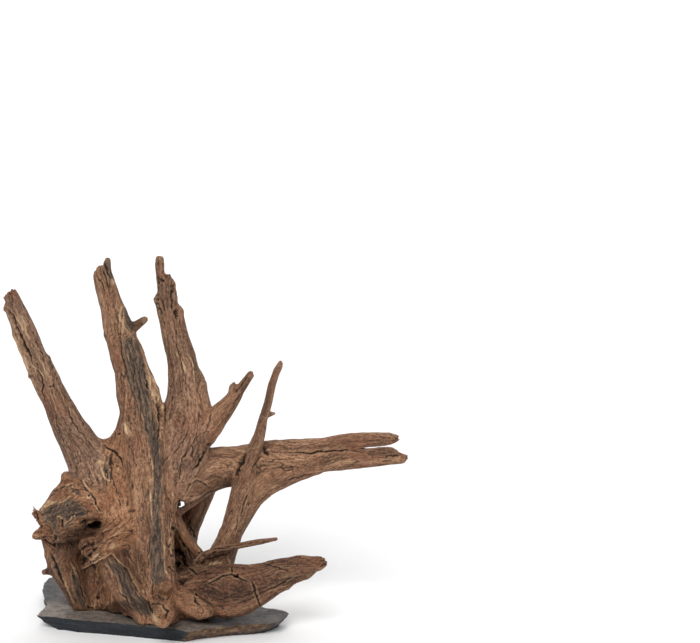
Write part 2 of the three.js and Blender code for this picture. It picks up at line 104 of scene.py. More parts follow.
# The lines that the grain runs along, each station [x, y, z, radius]
GRAIN_LINES = {
    "left": [(-30, -10, 60, 20), (-45.5, -12, 107, 19), (-57.5, -15, 128, 13.5), (-80.5, -22, 180, 8),
             (-104, -28, 240, 5)],
    "middle": [(0, -38, 6, 13), (-2, -36, 30, 14), (-8, -22, 79, 18), (-16, -10, 131, 18),
               (-22.5, -2, 179, 12), (-33, 3, 214, 9), (-42.5, 5, 254, 6)],
    "spur": [(-27, 1, 205, 5), (-18.5, 2, 210.5, 3), (-10, 2, 216, 1.2)],
    "tall": [(6, -12, 92, 12), (11.5, -8, 117, 18), (16.5, 0, 158, 14), (7, 8, 202, 9), (1, 12, 250, 6)],
    "fork": [(12, -5, 124, 12), (28.5, -8, 137, 10.5), (43.5, -12, 154.5, 6.5), (61, -14, 180, 3)],
    "arm": [(0, -10, 88, 14), (26, -4, 106, 15), (57, 0, 112, 14), (99, -4, 117, 13),
            (130, -11, 124, 10), (172, -14, 126, 9)],
    "thin": [(34.5, -10, 33, 12), (51, -10, 74, 9), (56.5, -12, 99.5, 8), (62.3, -13, 124, 4.6),
             (82, -6, 187, 2)],
    "web": [(92, -3, 112, 12), (73, -6, 102, 11), (61, -9, 86, 8)],
    "rear": [(31, 8, 106, 10), (16, 30, 60, 9.5), (12.5, 34, 43, 10), (17, 30, 6, 14)],
    "foot": [(2, -16, 20, 15), (29, -28, 27, 17), (53, -36, 30.5, 18), (83, -39, 43.5, 10.5),
             (113, -42, 50, 4)],
    "twig": [(15, -18, 34, 3), (27.5, -24, 52, 2.4), (80, -28, 65, 1.4)],
    "trunk": [(-30, -12, 128, 13), (-31, -16, 95, 19), (-25, -24, 50, 17), (-17, -30, 6, 13)],
    "side": [(-40, -4, 104, 14), (-50, 8, 44, 15), (-57, 17, 6, 13)],
    "back left": [(-14, 1, 146, 8), (-18, 9, 122, 15), (-25, 18, 90, 17), (-42, 33, 6, 15)],
    "back right": [(12, 1, 146, 7), (4, 9, 122, 12), (-12, 24, 74, 12), (-16, 39, 6, 14)],
    "stub": [(-30, 18, 99, 10), (-51, 56, 108, 7)],
    "knot": [(-42, -10, 87, 20), (-64, -31, 85, 19), (-82, -44, 77, 12)],
    "left leg": [(-70.5, -29, 65, 13), (-70.5, -22, 47, 10), (-59.5, -13, 21, 9), (-54, -10, 6, 8)],
    "cave": [(-48.5, -6, 54, 17), (-42, -4, 6, 16)],
    "brow": [(-14, -14, 78, 12), (-38, -43, 68, 11), (-51, -55, 62, 9.5)],
    "middle leg": [(-38, -42, 63, 10), (-21, -44, 28.5, 10.5), (-9, -39, 4, 12)],
    "front knob": [(0, -38, 30, 10), (1.5, -78, 25, 6.4)],
    "low knob": [(12, -40, 25, 9), (36, -51, 20, 4)],
    "strip": [(5, -20, 93, 4), (10, -21, 75.5, 4), (29, -15, 45, 5)],
}

# How grey and how dark the wood is along each of those lines; the darkness is partly the wood's own colour
# and partly painted shade on lower, shaded limbs
LINE_LOOKS = {
    "left": (0.42, 0.0), "middle": (0.22, 0.05), "spur": (0.2, 0.4), "tall": (0.4, 0.2), "fork": (0.25, 0.12),
    "arm": (0.2, 0.0), "thin": (0.3, 0.1), "web": (0.2, 0.05), "rear": (0.25, 0.3), "foot": (0.08, 0.62),
    "twig": (0.0, 0.8), "trunk": (0.0, 0.0), "side": (0.1, 0.25), "back left": (0.25, 0.1),
    "back right": (0.25, 0.15), "stub": (0.35, 0.1), "knot": (0.0, 0.2), "left leg": (0.0, 0.6),
    "cave": (0.0, 0.25), "brow": (0.0, 0.0), "middle leg": (0.1, 0.25), "front knob": (0.0, 0.0),
    "low knob": (0.1, 0.15), "strip": (0.0, 0.2),
}


def noise_cells(cells, seed):
    """One of twelve slopes for each corner of the noise lattice, as its number."""
    mixed = cells[:, 0] * 73856093 ^ cells[:, 1] * 19349663 ^ cells[:, 2] * 83492791 ^ (seed + 1) * 2654435
    mixed = (mixed ^ (mixed >> 13)) * 1274126177
    return ((mixed ^ (mixed >> 16)) & 0xFFFF) % 12


SLOPES = np.array(
    [(1, 1, 0), (-1, 1, 0), (1, -1, 0), (-1, -1, 0), (1, 0, 1), (-1, 0, 1),
     (1, 0, -1), (-1, 0, -1), (0, 1, 1), (0, -1, 1), (0, 1, -1), (0, -1, -1)], float,
)


def noise(points, seed=0):
    """Smooth noise, about -1 to 1, at an array of points."""
    base = np.floor(points).astype(np.int64)
    part = points - base
    fade = part**3 * (part * (part * 6 - 15) + 10)
    total = np.zeros(len(points))
    for corner in range(8):
        step = np.array([corner & 1, corner >> 1 & 1, corner >> 2 & 1])
        slope = SLOPES[noise_cells(base + step, seed)]
        share = np.prod(np.where(step, fade, 1 - fade), axis=1)
        total += share * np.einsum("ij,ij->i", slope, part - step)
    return 1.4 * total


def smooth_step(value, low, high):
    """0 below low, 1 above high, and a soft rise between them."""
    share = np.clip((value - low) / (high - low), 0, 1)
    return share * share * (3 - 2 * share)


def read(items, name, width=1, kind=np.float32):
    """One value or vector of each item of a mesh, as an array."""
    values = np.empty(len(items) * width, kind)
    items.foreach_get(name, values)
    return values.reshape(-1, width) if width > 1 else values


def store(mesh, fields):
    """Keeps fields by name on the corners of a mesh, as numbers or as vectors."""
    for name, field in fields.items():
        kind, slot = ("FLOAT", "value") if field.ndim == 1 else ("FLOAT_VECTOR", "vector")
        data = mesh.attributes.new(name, kind, "POINT").data
        data.foreach_set(slot, np.ascontiguousarray(field, np.float32).ravel())


def smooth_faces(mesh):
    mesh.polygons.foreach_set("use_smooth", np.ones(len(mesh.polygons), bool))


def mesh_arrays(mesh):
    """Corners in millimetres and edges of a mesh."""
    corners = read(mesh.vertices, "co", 3).astype(float) / MM
    return corners, read(mesh.edges, "vertices", 2, np.int32)


def set_corners(mesh, corners):
    mesh.vertices.foreach_set("co", (corners * MM).astype(np.float32).ravel())
    mesh.update()


def mesh_normals(mesh, corners):
    """The normal at each corner once the corners are moved."""
    set_corners(mesh, corners)
    return read(mesh.vertex_normals, "vector", 3).astype(float)


class Relaxer:
    """Averages values or places with those of the next corners."""

    def __init__(self, count, edges):
        self.count = count
        self.ends = np.concatenate([edges[:, 0], edges[:, 1]])
        self.others = np.concatenate([edges[:, 1], edges[:, 0]])
        self.valence = np.bincount(self.ends, minlength=count).clip(1)

    def average(self, values):
        if values.ndim == 1:
            return np.bincount(self.ends, values[self.others], self.count) / self.valence
        return np.stack([self.average(values[:, axis]) for axis in range(values.shape[1])], axis=1)

    def relax(self, values, rounds, amount=0.5):
        for _ in range(rounds):
            change = self.average(values) - values
            values = values + (change * amount if values.ndim == 1 else change * np.reshape(amount, (-1, 1)))
        return values


def remeshed(name, sources, inflate, voxel):
    """One closed fine mesh around several solids, with their thin gaps closed."""
    builder = bmesh.new()
    for source in sources:
        part = bmesh.new()
        part.from_mesh(source.data)
        bmesh.ops.remove_doubles(part, verts=part.verts, dist=1e-6)
        part.normal_update()
        for vert in part.verts:
            vert.co += vert.normal * inflate * MM
        joined = bpy.data.meshes.new("joined")
        part.to_mesh(joined)
        builder.from_mesh(joined)
        part.free()
        bpy.data.meshes.remove(joined)
    mesh = bpy.data.meshes.new(name)
    builder.to_mesh(mesh)
    builder.free()
    holder = bpy.data.objects.new(name, mesh)
    bpy.context.scene.collection.objects.link(holder)
    modifier = holder.modifiers.new("skin", "REMESH")
    modifier.mode = "VOXEL"
    modifier.voxel_size = voxel * MM
    shaped = holder.evaluated_get(bpy.context.evaluated_depsgraph_get())
    fine = bpy.data.meshes.new_from_object(shaped)
    bpy.data.objects.remove(holder)
    bpy.data.meshes.remove(mesh)
    fine.name = name
    return fine


def follow(points, stations):
    """Where each point is beside a line: share of the radius, place along, radius, and two offsets across."""
    stations = np.array(stations, float)
    nearest = np.full(len(points), np.inf)
    found = np.zeros((len(points), 7))
    start = 0.0
    for low, high in zip(stations[:-1], stations[1:]):
        span = high[:3] - low[:3]
        length = np.linalg.norm(span)
        along = span / length
        share = np.clip((points - low[:3]) @ along / length, 0, 1)
        radius = low[3] + share * (high[3] - low[3])
        offset = points - low[:3] - share[:, None] * span
        beside = np.linalg.norm(offset, axis=1) / radius
        upright = abs(along[1]) > 0.8
        across = np.cross(along, (0, 0, 1) if upright else (0, 1, 0))
        across /= np.linalg.norm(across)
        deep = np.cross(across, along)
        closer = beside < nearest
        nearest = np.where(closer, beside, nearest)
        run = start + (points - low[:3]) @ along
        values = np.stack(
            [run, radius, offset @ across, offset @ deep, *np.broadcast_to(along, (len(points), 3)).T], axis=1
        )
        found[closer] = values[closer]
        start += length
    return nearest, found


def curved(stations, steps=4):
    """More stations on a smooth curve through the given ones."""
    known = np.array(stations, float)
    known = np.vstack([2 * known[0] - known[1], known, 2 * known[-1] - known[-2]])
    places = []
    for a, b, c, d in zip(known[:-3], known[1:-2], known[2:-1], known[3:]):
        for t in np.arange(steps) / steps:
            bend = (2 * a - 5 * b + 4 * c - d) * t * t + (3 * b - a - 3 * c + d) * t**3
            places.append(0.5 * (2 * b + (c - a) * t + bend))
    return np.array([*places, known[-2]])


def beside_all(points):
    """The nearest and next nearest grain line of each point, by share of the radius."""
    near, next_near = np.full(len(points), np.inf), np.full(len(points), np.inf)
    values, next_values = np.zeros((len(points), 8)), np.zeros((len(points), 8))
    for number, stations in enumerate(GRAIN_LINES.values()):
        stations = curved(stations)
        margin = 3 * stations[:, 3].max()
        low, high = stations[:, :3].min(axis=0) - margin, stations[:, :3].max(axis=0) + margin
        inside = np.flatnonzero(np.all((points > low) & (points < high), axis=1))
        share, found = np.full(len(points), np.inf), np.zeros((len(points), 8))
        share[inside], found[inside, :7] = follow(points[inside], stations)
        found[:, 7] = number
        closest = share < near
        second = ~closest & (share < next_near)
        next_near = np.where(closest, near, np.where(second, share, next_near))
        next_values[closest] = values[closest]
        next_values[second] = found[second]
        near = np.where(closest, share, near)
        values[closest] = found[closest]
    return near, values, next_near, next_values


def grain_place(values, points):
    """Coordinates that run with the grain: two across it and one along it, in millimetres."""
    run, radius, across, deep = values[:, :4].T
    number = values[:, 7]
    spread = (12 / np.maximum(radius, 3)) ** 0.6
    turn = 0.005 * run + 0.25 * noise(points / 60, 3)
    side = (across * np.cos(turn) - deep * np.sin(turn)) * spread + 2.0 * noise(points / 22, 1)
    depth = (across * np.sin(turn) + deep * np.cos(turn)) * spread + 2.0 * noise(points / 22, 2)
    return np.stack([side + 41 * number, depth + 17 * number, run], axis=1)


def grain_fields(place):
    """Noise drawn out along the grain: ridges, fibres, threads, sheets, splits and streaks."""
    def drawn(width, length, seed):
        return noise(place / (width, width, length), seed)

    ridges = drawn(8, 75, 10)
    fibres = 1 - 2.4 * np.abs(drawn(3.0, 42, 11))
    threads = drawn(1.7, 26, 12)
    sheets = drawn(6, 34, 13) + 0.32 * drawn(1.8, 8, 14)
    splits = drawn(7, 48, 15) + 0.05 * drawn(1.5, 4, 16)
    streaks = drawn(2.4, 60, 17)
    return np.stack([ridges, fibres, threads, sheets, splits, streaks], axis=1)


def camera_axes():
    """The camera's right, up and forward directions."""
    yaw, pitch, roll = (math.radians(angle) for angle in (CAMERA_YAW, CAMERA_PITCH, CAMERA_ROLL))
    forward = np.array([math.sin(yaw) * math.cos(pitch), math.cos(yaw) * math.cos(pitch), math.sin(pitch)])
    level = np.array([math.cos(yaw), -math.sin(yaw), 0])
    upward = np.cross(level, forward)
    right = math.cos(roll) * level + math.sin(roll) * upward
    return right, math.cos(roll) * upward - math.sin(roll) * level, forward


def picture_place(points):
    """Where points in millimetres fall in the picture, in pixels."""
    right, upward, forward = camera_axes()
    offset = points - np.array(CAMERA_PLACE)
    depth = offset @ forward
    return np.stack([
        PICTURE_WIDTH / 2 + FOCAL_PIXELS * (offset @ right) / depth,
        PICTURE_HEIGHT / 2 - FOCAL_PIXELS * (offset @ upward) / depth,
    ], axis=1)


def stroke_distance(places, stroke):
    """Distance from a drawn line in pixels, place along it from 0 to 1, and the side it is on."""
    stroke = np.array(stroke, float)
    lengths = np.linalg.norm(np.diff(stroke, axis=0), axis=1)
    nearest, along, side = np.full(len(places), 1e3), np.zeros(len(places)), np.ones(len(places))
    start = 0.0
    for low, high, length in zip(stroke[:-1], stroke[1:], lengths):
        span = (high - low) / length
        share = np.clip((places - low) @ span, 0, length)
        offset = places - low - share[:, None] * span
        distance = np.linalg.norm(offset, axis=1)
        closer = distance < nearest
        nearest = np.where(closer, distance, nearest)
        along = np.where(closer, (start + share) / lengths.sum(), along)
        side = np.where(closer, np.sign(span[0] * offset[:, 1] - span[1] * offset[:, 0]), side)
        start += length
    return nearest, along, side


class Drawing:
    """Where corners fall in the picture, and how far they are from what is drawn there."""

    def __init__(self, places, facing):
        self.places = places
        self.facing = facing

    def near(self, low, high, margin):
        after, before = self.places > np.array(low) - margin, self.places < np.array(high) + margin
        return np.flatnonzero(np.all(after & before, axis=1) & (self.facing > 0))

    def stroke(self, stroke, margin):
        chosen = self.near(np.min(stroke, axis=0), np.max(stroke, axis=0), margin)
        return chosen, *stroke_distance(self.places[chosen], stroke), self.facing[chosen]

    def area(self, outline, margin):
        """Distance from an outline in pixels, below zero inside it."""
        chosen, distance, _, _, facing = self.stroke([*outline, outline[0]], margin)
        across, down = self.places[chosen].T
        inside = np.zeros(len(chosen), bool)
        for (x0, y0), (x1, y1) in zip(outline, [*outline[1:], outline[0]]):
            crosses = (y0 > down) != (y1 > down)
            inside ^= crosses & (across < x0 + (down - y0) * (x1 - x0) / (y1 - y0 + 1e-9))
        return chosen, np.where(inside, -distance, distance), facing

    def spot(self, across, down, wide, tall, margin):
        """Distance from the middle of an oval, as a share of its half size."""
        reach = margin * np.array((wide, tall))
        chosen = self.near(np.array((across, down)) - reach, np.array((across, down)) + reach, 0)
        offset = (self.places[chosen] - (across, down)) / (wide, tall)
        return chosen, np.hypot(*offset.T), self.facing[chosen]


# Lines seen in the picture, in its pixels: half width in pixels, depth in millimetres, then the points
CRACKS = [
    (1.7, 3.6, (6, 307), (9, 312), (12, 318), (15, 324), (18, 331)),
    (1.3, 3.2, (17, 329), (21, 337), (25, 345), (28, 351), (31, 359)),
    (0.7, 1.5, (30, 358), (34, 365), (39, 374), (42, 380), (43, 388), (42, 393), (45, 403)),
    (1.3, 2.4, (49, 357), (53, 366), (57, 375), (59, 380)), (1.3, 1.5, (54, 383), (55, 388)),
    (0.7, 1.0, (48, 387), (54, 386)),
    (0.6, 1.2, (64, 393), (67, 405), (70, 414), (73, 423), (79, 431), (86, 438), (92, 446), (99, 454)),
    (0.8, 0.9, (55, 412), (56, 424), (60, 435), (65, 447)),
    (0.6, 1.0, (104, 336), (107, 350), (109, 366), (111, 384)),
    (0.6, 1.0, (121, 338), (122, 352), (125, 368)),
    (0.5, 0.9, (171, 330), (176, 345), (180, 360), (186, 378)),
    (0.5, 0.9, (166, 372), (170, 390), (172, 408)), (0.5, 0.9, (23, 312), (30, 328), (38, 346), (47, 366)),
    (0.5, 0.9, (108, 470), (114, 484), (119, 498), (121, 512)),
    (0.5, 0.8, (128, 440), (133, 456), (138, 472)), (0.5, 0.8, (103, 452), (112, 462), (119, 476)),
    (0.9, 1.5, (82, 422), (84, 427)),
    (1.0, 2.2, (104, 444), (110, 449), (117, 455), (121, 458), (123, 467)),
    (1.2, 2.6, (50, 356), (53, 362), (56, 370), (58, 376)), (0.8, 1.2, (97, 274), (101, 282), (105, 291)),
    (0.8, 1.4, (103, 268), (107, 280), (110, 290)), (0.9, 1.8, (104, 264), (108, 272), (111, 279)),
    (1.6, 1.4, (103, 326), (106, 336), (108, 346)), (1.4, 2.6, (147, 380), (147, 385), (149, 390)),
    (2.2, 4.6, (157, 403), (160, 410), (161, 418), (161, 425)),
    (1.4, 3.4, (160, 424), (160, 432), (158, 440)), (1.0, 2.0, (155, 396), (158, 403), (158, 410)),
    (0.8, 1.6, (165, 404), (166, 414), (165, 424)), (1.4, 3.0, (158, 276), (158, 286), (157, 293)),
    (1.7, 4.0, (157, 292), (158, 300)),
    (1.1, 2.4, (158, 301), (159, 308), (161, 315), (163, 322), (165, 328)),
    (1.2, 2.4, (174, 283), (174, 290), (172, 297)), (1.0, 2.0, (175, 311), (176, 316), (178, 320)),
    (1.6, 2.4, (161, 277), (163, 282)), (0.9, 1.6, (172, 279), (172, 295), (172, 312)),
    (0.7, 1.2, (175, 284), (176, 299)), (0.7, 1.2, (162, 298), (164, 311)),
    (1.6, 2.2, (176, 309), (177, 317)), (0.6, 1.0, (212, 411), (208, 425), (203, 438)),
    (0.6, 0.8, (190, 430), (182, 442), (174, 454)),
    (1.4, 3.0, (209, 447), (204, 456), (200, 464), (195, 469)), (0.6, 1.2, (195, 469), (190, 473)),
    (1.0, 2.0, (187, 451), (183, 458), (181, 464)), (0.6, 1.0, (181, 464), (180, 474), (179, 481)),
    (0.8, 1.2, (192, 444), (194, 451), (191, 457)),
    (1.8, 4.0, (247, 449), (243, 457), (239, 467), (235, 476)),
    (2.0, 3.6, (263, 446), (265, 452), (268, 455)),
    (0.7, 1.5, (262, 456), (257, 461), (253, 470), (250, 478)),
    (0.8, 1.4, (248, 494), (244, 505), (240, 517)),
    (0.7, 2.4, (290, 453), (310, 452.4), (330, 451.4), (352, 450)),
    (0.6, 0.7, (281, 470), (290, 468), (300, 467)), (0.6, 0.7, (262, 463), (276, 460), (286, 459)),
    (1.1, 1.2, (384, 456), (390, 457), (398, 456)), (0.9, 1.0, (382, 461), (392, 462)),
    (0.9, 2.0, (83, 484), (87, 490), (92, 495), (96, 502), (101, 512)),
    (1.2, 2.8, (62, 519), (63, 523), (63, 527)), (1.0, 2.0, (33, 511), (37, 518), (40, 526), (41, 534)),
    (1.0, 1.6, (54, 534), (55, 540), (53, 546)), (1.2, 2.0, (80, 551), (84, 548), (88, 545)),
    (0.8, 1.6, (88, 551), (92, 549), (95, 546)),
    (0.8, 1.2, (44, 498), (50, 493), (56, 489), (62, 486), (74, 483)),
    (0.8, 1.0, (70, 487), (76, 489), (80, 492)), (1.0, 1.6, (42, 537), (48, 541), (55, 546)),
    (1.3, 2.2, (50, 552), (54, 562), (59, 573), (65, 585)), (0.8, 1.4, (78, 578), (81, 588), (85, 600)),
    (1.5, 2.6, (89, 541), (95, 542)), (2.2, 3.0, (83, 524), (88, 523), (94, 524), (100, 526)),
    (0.7, 1.2, (93, 546), (100, 544), (108, 540), (121, 535)),
    (1.6, 2.8, (98, 546), (93, 551), (88, 557), (84, 564)),
    (0.9, 2.2, (112, 556), (119, 562), (125, 567), (131, 576), (135, 586), (139, 594)),
    (1.6, 2.4, (88, 606), (93, 610)), (0.9, 1.4, (120, 592), (126, 598), (130, 606)),
    (0.8, 1.4, (152, 575), (153, 585), (152, 595), (155, 606)),
    (1.0, 1.8, (147, 600), (151, 607), (152, 614)),
    (1.3, 2.4, (152, 606), (157, 602), (163, 604), (167, 611), (166, 618)),
    (1.2, 2.0, (157, 594), (163, 599), (170, 597)), (0.6, 0.8, (167, 495), (172, 505)),
    (2.2, 5.5, (173, 526), (173.5, 534), (174.5, 545)), (1.0, 2.0, (171, 508), (172, 516), (171, 524)),
    (1.0, 2.4, (178, 530), (181, 540), (186, 548)), (1.2, 2.6, (168, 540), (170, 552), (174, 560)),
    (1.0, 2.0, (186, 545), (190, 552), (192, 558)), (1.4, 3.0, (168, 566), (174, 572), (181, 574)),
    (2.4, 5.0, (173, 549), (178, 552), (183, 556)), (2.6, 5.0, (176, 562), (178, 567)),
    (2.6, 5.0, (182, 554), (184, 561), (187, 567)), (1.2, 3.0, (188, 566), (192, 570), (197, 573)),
    (3.0, 4.6, (201, 552), (199, 558), (195, 563)), (1.8, 3.0, (201, 552), (206, 549), (212, 549)),
    (2.4, 3.6, (179, 580), (183, 581), (187, 578)),
    (0.7, 1.0, (186, 512), (187, 522), (192, 531), (199, 543)),
    (1.3, 3.0, (195, 592), (196, 600), (200, 605)),
    (0.9, 2.0, (207, 585), (213, 581), (219, 578), (224, 575), (231, 575), (238, 577), (243, 580),
     (248, 582)),
    (0.9, 1.8, (232, 567), (231, 575)), (1.0, 2.4, (252, 581), (255, 590), (258, 600), (261, 607)),
    (0.6, 0.9, (202, 584), (207, 580), (213, 577)), (0.7, 1.0, (256, 562), (272, 566), (290, 572)),
    (0.8, 1.0, (264, 592), (278, 586), (294, 576)), (0.8, 0.9, (285, 480), (297, 478), (312, 474)),
    (0.8, 1.0, (205, 551), (217, 548), (229, 548)), (0.7, 1.0, (204, 560), (215, 556), (228, 555)),
    (0.8, 1.4, (236, 392), (242, 384), (248, 376)), (0.7, 1.2, (240, 393), (238, 399), (233, 405)),
    (1.2, 1.2, (116, 434), (120, 434)),
]

# Dark bark left on the wood: how far it stands up, then its outline
BARK = [
    (0.6, (122, 346), (125, 366), (130, 385), (136, 401), (141, 418), (146, 432), (151, 450), (152, 480),
     (151, 500), (150, 540), (151, 580), (155, 585), (162, 583), (163, 560), (161, 520), (162, 480),
     (161, 447), (157, 430), (153, 412), (150, 396), (147, 379), (143, 362), (138, 346), (131, 336),
     (125, 338)),
    (0.4, (125, 306), (123, 314), (125, 327), (130, 332), (134, 327), (130, 316), (126, 304)),
    (0.4, (104, 256), (104, 268), (106, 276), (110, 281), (115, 281), (113, 268), (110, 257)),
    (0.4, (102, 466), (104, 473), (108, 479), (112, 480), (111, 473), (107, 466)),
    (0.5, (145, 487), (145, 495), (148, 503), (150, 499), (147, 492)),
    (0.9, (41, 512), (48, 508), (57, 504), (66, 501), (70, 498), (78, 499), (82, 507), (87, 511),
     (86, 518), (79, 517), (74, 520), (69, 526), (64, 529), (62, 522), (59, 519), (58, 528), (55, 532),
     (52, 530), (50, 524), (45, 521)),
    (0.3, (70, 486), (74, 487), (80, 492), (80, 497), (73, 494)),
    (0.5, (106, 560), (115, 560), (124, 567), (131, 577), (134, 588), (140, 595), (147, 602), (152, 612),
     (147, 619), (134, 611), (124, 596), (117, 580), (109, 568)),
    (0.6, (71, 572), (77, 576), (80, 588), (87, 606), (80, 607), (75, 594), (71, 583)),
    (0.3, (51, 556), (55, 556), (62, 572), (60, 577), (54, 568)),
]

# Pale torn rims: half width in pixels, height in millimetres, then the points
RIMS = [
    (1.6, 0.9, (123, 305), (120, 311), (121, 320), (123, 331)), (1.4, 0.5, (112, 278), (114, 285)),
    (1.0, 0.4, (141, 414), (144, 420)), (2.4, 0.9, (152, 390), (155, 396), (158, 405)),
    (1.0, 0.8, (150, 376), (153, 382), (155, 389)), (0.9, 0.4, (152, 379), (156, 386), (158, 394)),
    (0.8, 0.3, (145, 360), (149, 376), (151, 390)), (0.7, 0.3, (127, 354), (129, 362)),
    (2.4, 0.3, (125, 422), (126, 428), (128, 434)),
    (0.9, 0.5, (101, 468), (104, 476), (108, 481), (113, 481)),
    (1.8, 0.4, (98, 462), (104, 463), (108, 461)),
    (0.8, 0.4, (149, 488), (151, 497), (151, 508), (152, 519)),
    (0.7, 0.4, (151, 456), (153, 470), (152, 482)), (2.4, 0.7, (40, 511), (45, 507), (51, 503), (56, 503)),
    (1.0, 0.6, (55, 504), (60, 502), (66, 499), (71, 496)),
    (0.7, 0.6, (57, 517), (60, 518), (63, 520), (65, 525)),
    (0.6, 0.5, (66, 523), (70, 519), (74, 516), (76, 520)), (0.6, 0.4, (52, 526), (55, 531), (53, 536)),
    (0.8, 0.5, (87, 493), (89, 492.6), (91.5, 494.5), (91, 497.5), (88.5, 498), (87, 496), (87, 493)),
    (0.8, 0.6, (93, 499), (96, 505), (99, 512)), (0.7, 0.4, (60, 488), (66, 485), (74, 483)),
    (0.7, 0.5, (82, 480), (86, 486), (89, 490)), (1.6, 0.9, (89, 561), (94, 557), (99, 554)),
    (1.0, 0.9, (81, 569), (87, 567), (93, 563), (100, 560), (106, 557), (111, 554)),
    (1.8, 0.5, (110, 548), (114, 543)), (0.7, 0.3, (112, 554), (118, 559), (123, 565)),
    (0.9, 0.5, (137, 590), (139, 597)), (0.8, 0.5, (142, 589), (144, 593)),
    (1.0, 0.6, (62, 577), (66, 584), (70, 594), (74, 603)),
    (0.8, 0.5, (70, 562), (74, 570), (78, 579), (80, 587)), (0.8, 0.4, (96, 598), (95, 610)),
    (2.4, 0.5, (153, 611), (154, 617), (157, 623)), (0.8, 0.5, (157, 606), (162, 607), (164, 612)),
    (0.8, 0.4, (103, 609), (109, 602)), (1.6, 0.5, (12, 333), (18, 347), (25, 362), (30, 374)),
    (1.4, 0.4, (15, 317), (20, 324), (23, 330)), (1.0, 0.4, (31, 361), (36, 369), (43, 376)),
    (1.0, 0.3, (22, 316), (25, 328), (30, 340)), (0.8, 0.3, (34, 347), (41, 362), (50, 380)),
    (0.8, 0.3, (188, 352), (193, 366), (195, 382)), (0.8, 0.3, (176, 352), (182, 362), (186, 372)),
    (0.7, 0.5, (176, 526), (178, 536), (181, 545)), (0.6, 0.5, (169, 529), (171, 540), (173, 550)),
    (0.6, 0.5, (183, 541), (187, 548), (189, 556)), (0.7, 0.5, (160, 398), (162, 404), (163, 410)),
    (0.6, 0.5, (157, 408), (158, 416), (158, 424)),
    (0.7, 0.5, (171, 548), (172, 557), (175, 566), (180, 573)),
    (0.7, 0.5, (170, 515), (171, 526), (172, 538), (174, 548)),
    (1.6, 0.4, (203, 566), (212, 563), (222, 563)), (0.8, 0.5, (229, 552), (228, 558), (230, 564)),
    (1.6, 0.4, (249, 565), (253, 565)), (0.8, 0.3, (185, 503), (192, 500), (200, 496)),
    (0.8, 0.3, (163, 556), (165, 570), (170, 580)),
]

# Torn edges: the side to the right of the line drops by the depth and runs out over some pixels
LEDGES = [
    (16, 1.1, (124, 302), (123, 320), (121, 338), (124, 356), (129, 376), (135, 396), (142, 416)),
    (12, 0.8, (48, 387), (52, 400), (56, 414)), (9, 0.8, (14, 304), (19, 322), (27, 346), (34, 366)),
    (12, 0.8, (50, 384), (58, 388), (66, 404), (74, 424)),
    (14, 0.9, (153, 300), (158, 312), (165, 332), (168, 352)),
    (10, 1.2, (183, 497), (188, 484), (196, 479), (204, 482), (212, 489)),
    (10, 1.8, (81, 570), (88, 567), (98, 561), (107, 556), (112, 554)),
    (12, 0.9, (112, 554), (120, 562), (127, 570), (133, 580), (138, 592)),
    (14, 1.0, (41, 509), (54, 503), (68, 497)), (14, 0.9, (46, 499), (56, 489), (66, 485), (76, 483)),
    (14, 1.6, (86, 541), (93, 537), (102, 532), (112, 528)),
    (9, 0.8, (208, 582), (216, 580), (224, 575), (232, 574)),
    (12, 0.7, (262, 560), (278, 556), (296, 556), (312, 560)),
    (12, 0.7, (226, 448), (244, 452), (258, 448)),
]

# Holes and pits: place in the picture, half width, half height and depth, in pixels and millimetres
PITS = [
    (110, 461, 2.0, 3.6, 2.4), (133, 485, 1.3, 3.4, 1.3), (132, 511, 3.4, 2.0, 1.2),
    (127, 504, 1.6, 4.2, 0.8), (88, 529, 13, 9, 1.4), (89, 524, 7, 3.6, 3.2), (89.2, 495.4, 1.1, 1.1, 2.2),
    (62, 523, 2.2, 3.6, 1.4), (34, 513, 1.6, 2.6, 2.0), (38, 524, 1.6, 3.6, 2.0), (98, 598, 1.6, 1.6, 2.4),
    (84, 560, 3.2, 4.0, 2.6), (236, 434, 1.5, 1.2, 0.8), (96, 270, 1.4, 1.8, 1.6),
    (100, 264, 2.4, 1.3, 1.4), (183, 423, 1.6, 1.4, 0.9), (203, 424, 1.8, 1.4, 1.0),
    (171, 398, 1.4, 1.6, 1.0), (237, 390, 1.4, 1.8, 1.0), (263, 468, 1.4, 1.2, -0.9),
    (179, 515, 3.0, 4.0, 1.0), (190, 522, 1.4, 2.6, 1.6), (214, 553, 2.0, 2.0, 1.4),
    (160, 588, 2.0, 1.4, -0.6), (275, 594, 2.2, 1.4, 1.0), (193, 455, 1.2, 3.0, 0.8),
    (210, 446, 2.6, 2.0, 2.0), (188, 386, 3.0, 6.0, 0.4), (55, 385, 1.2, 2.0, 1.4),
    (31, 377, 1.6, 2.2, 1.6),
]
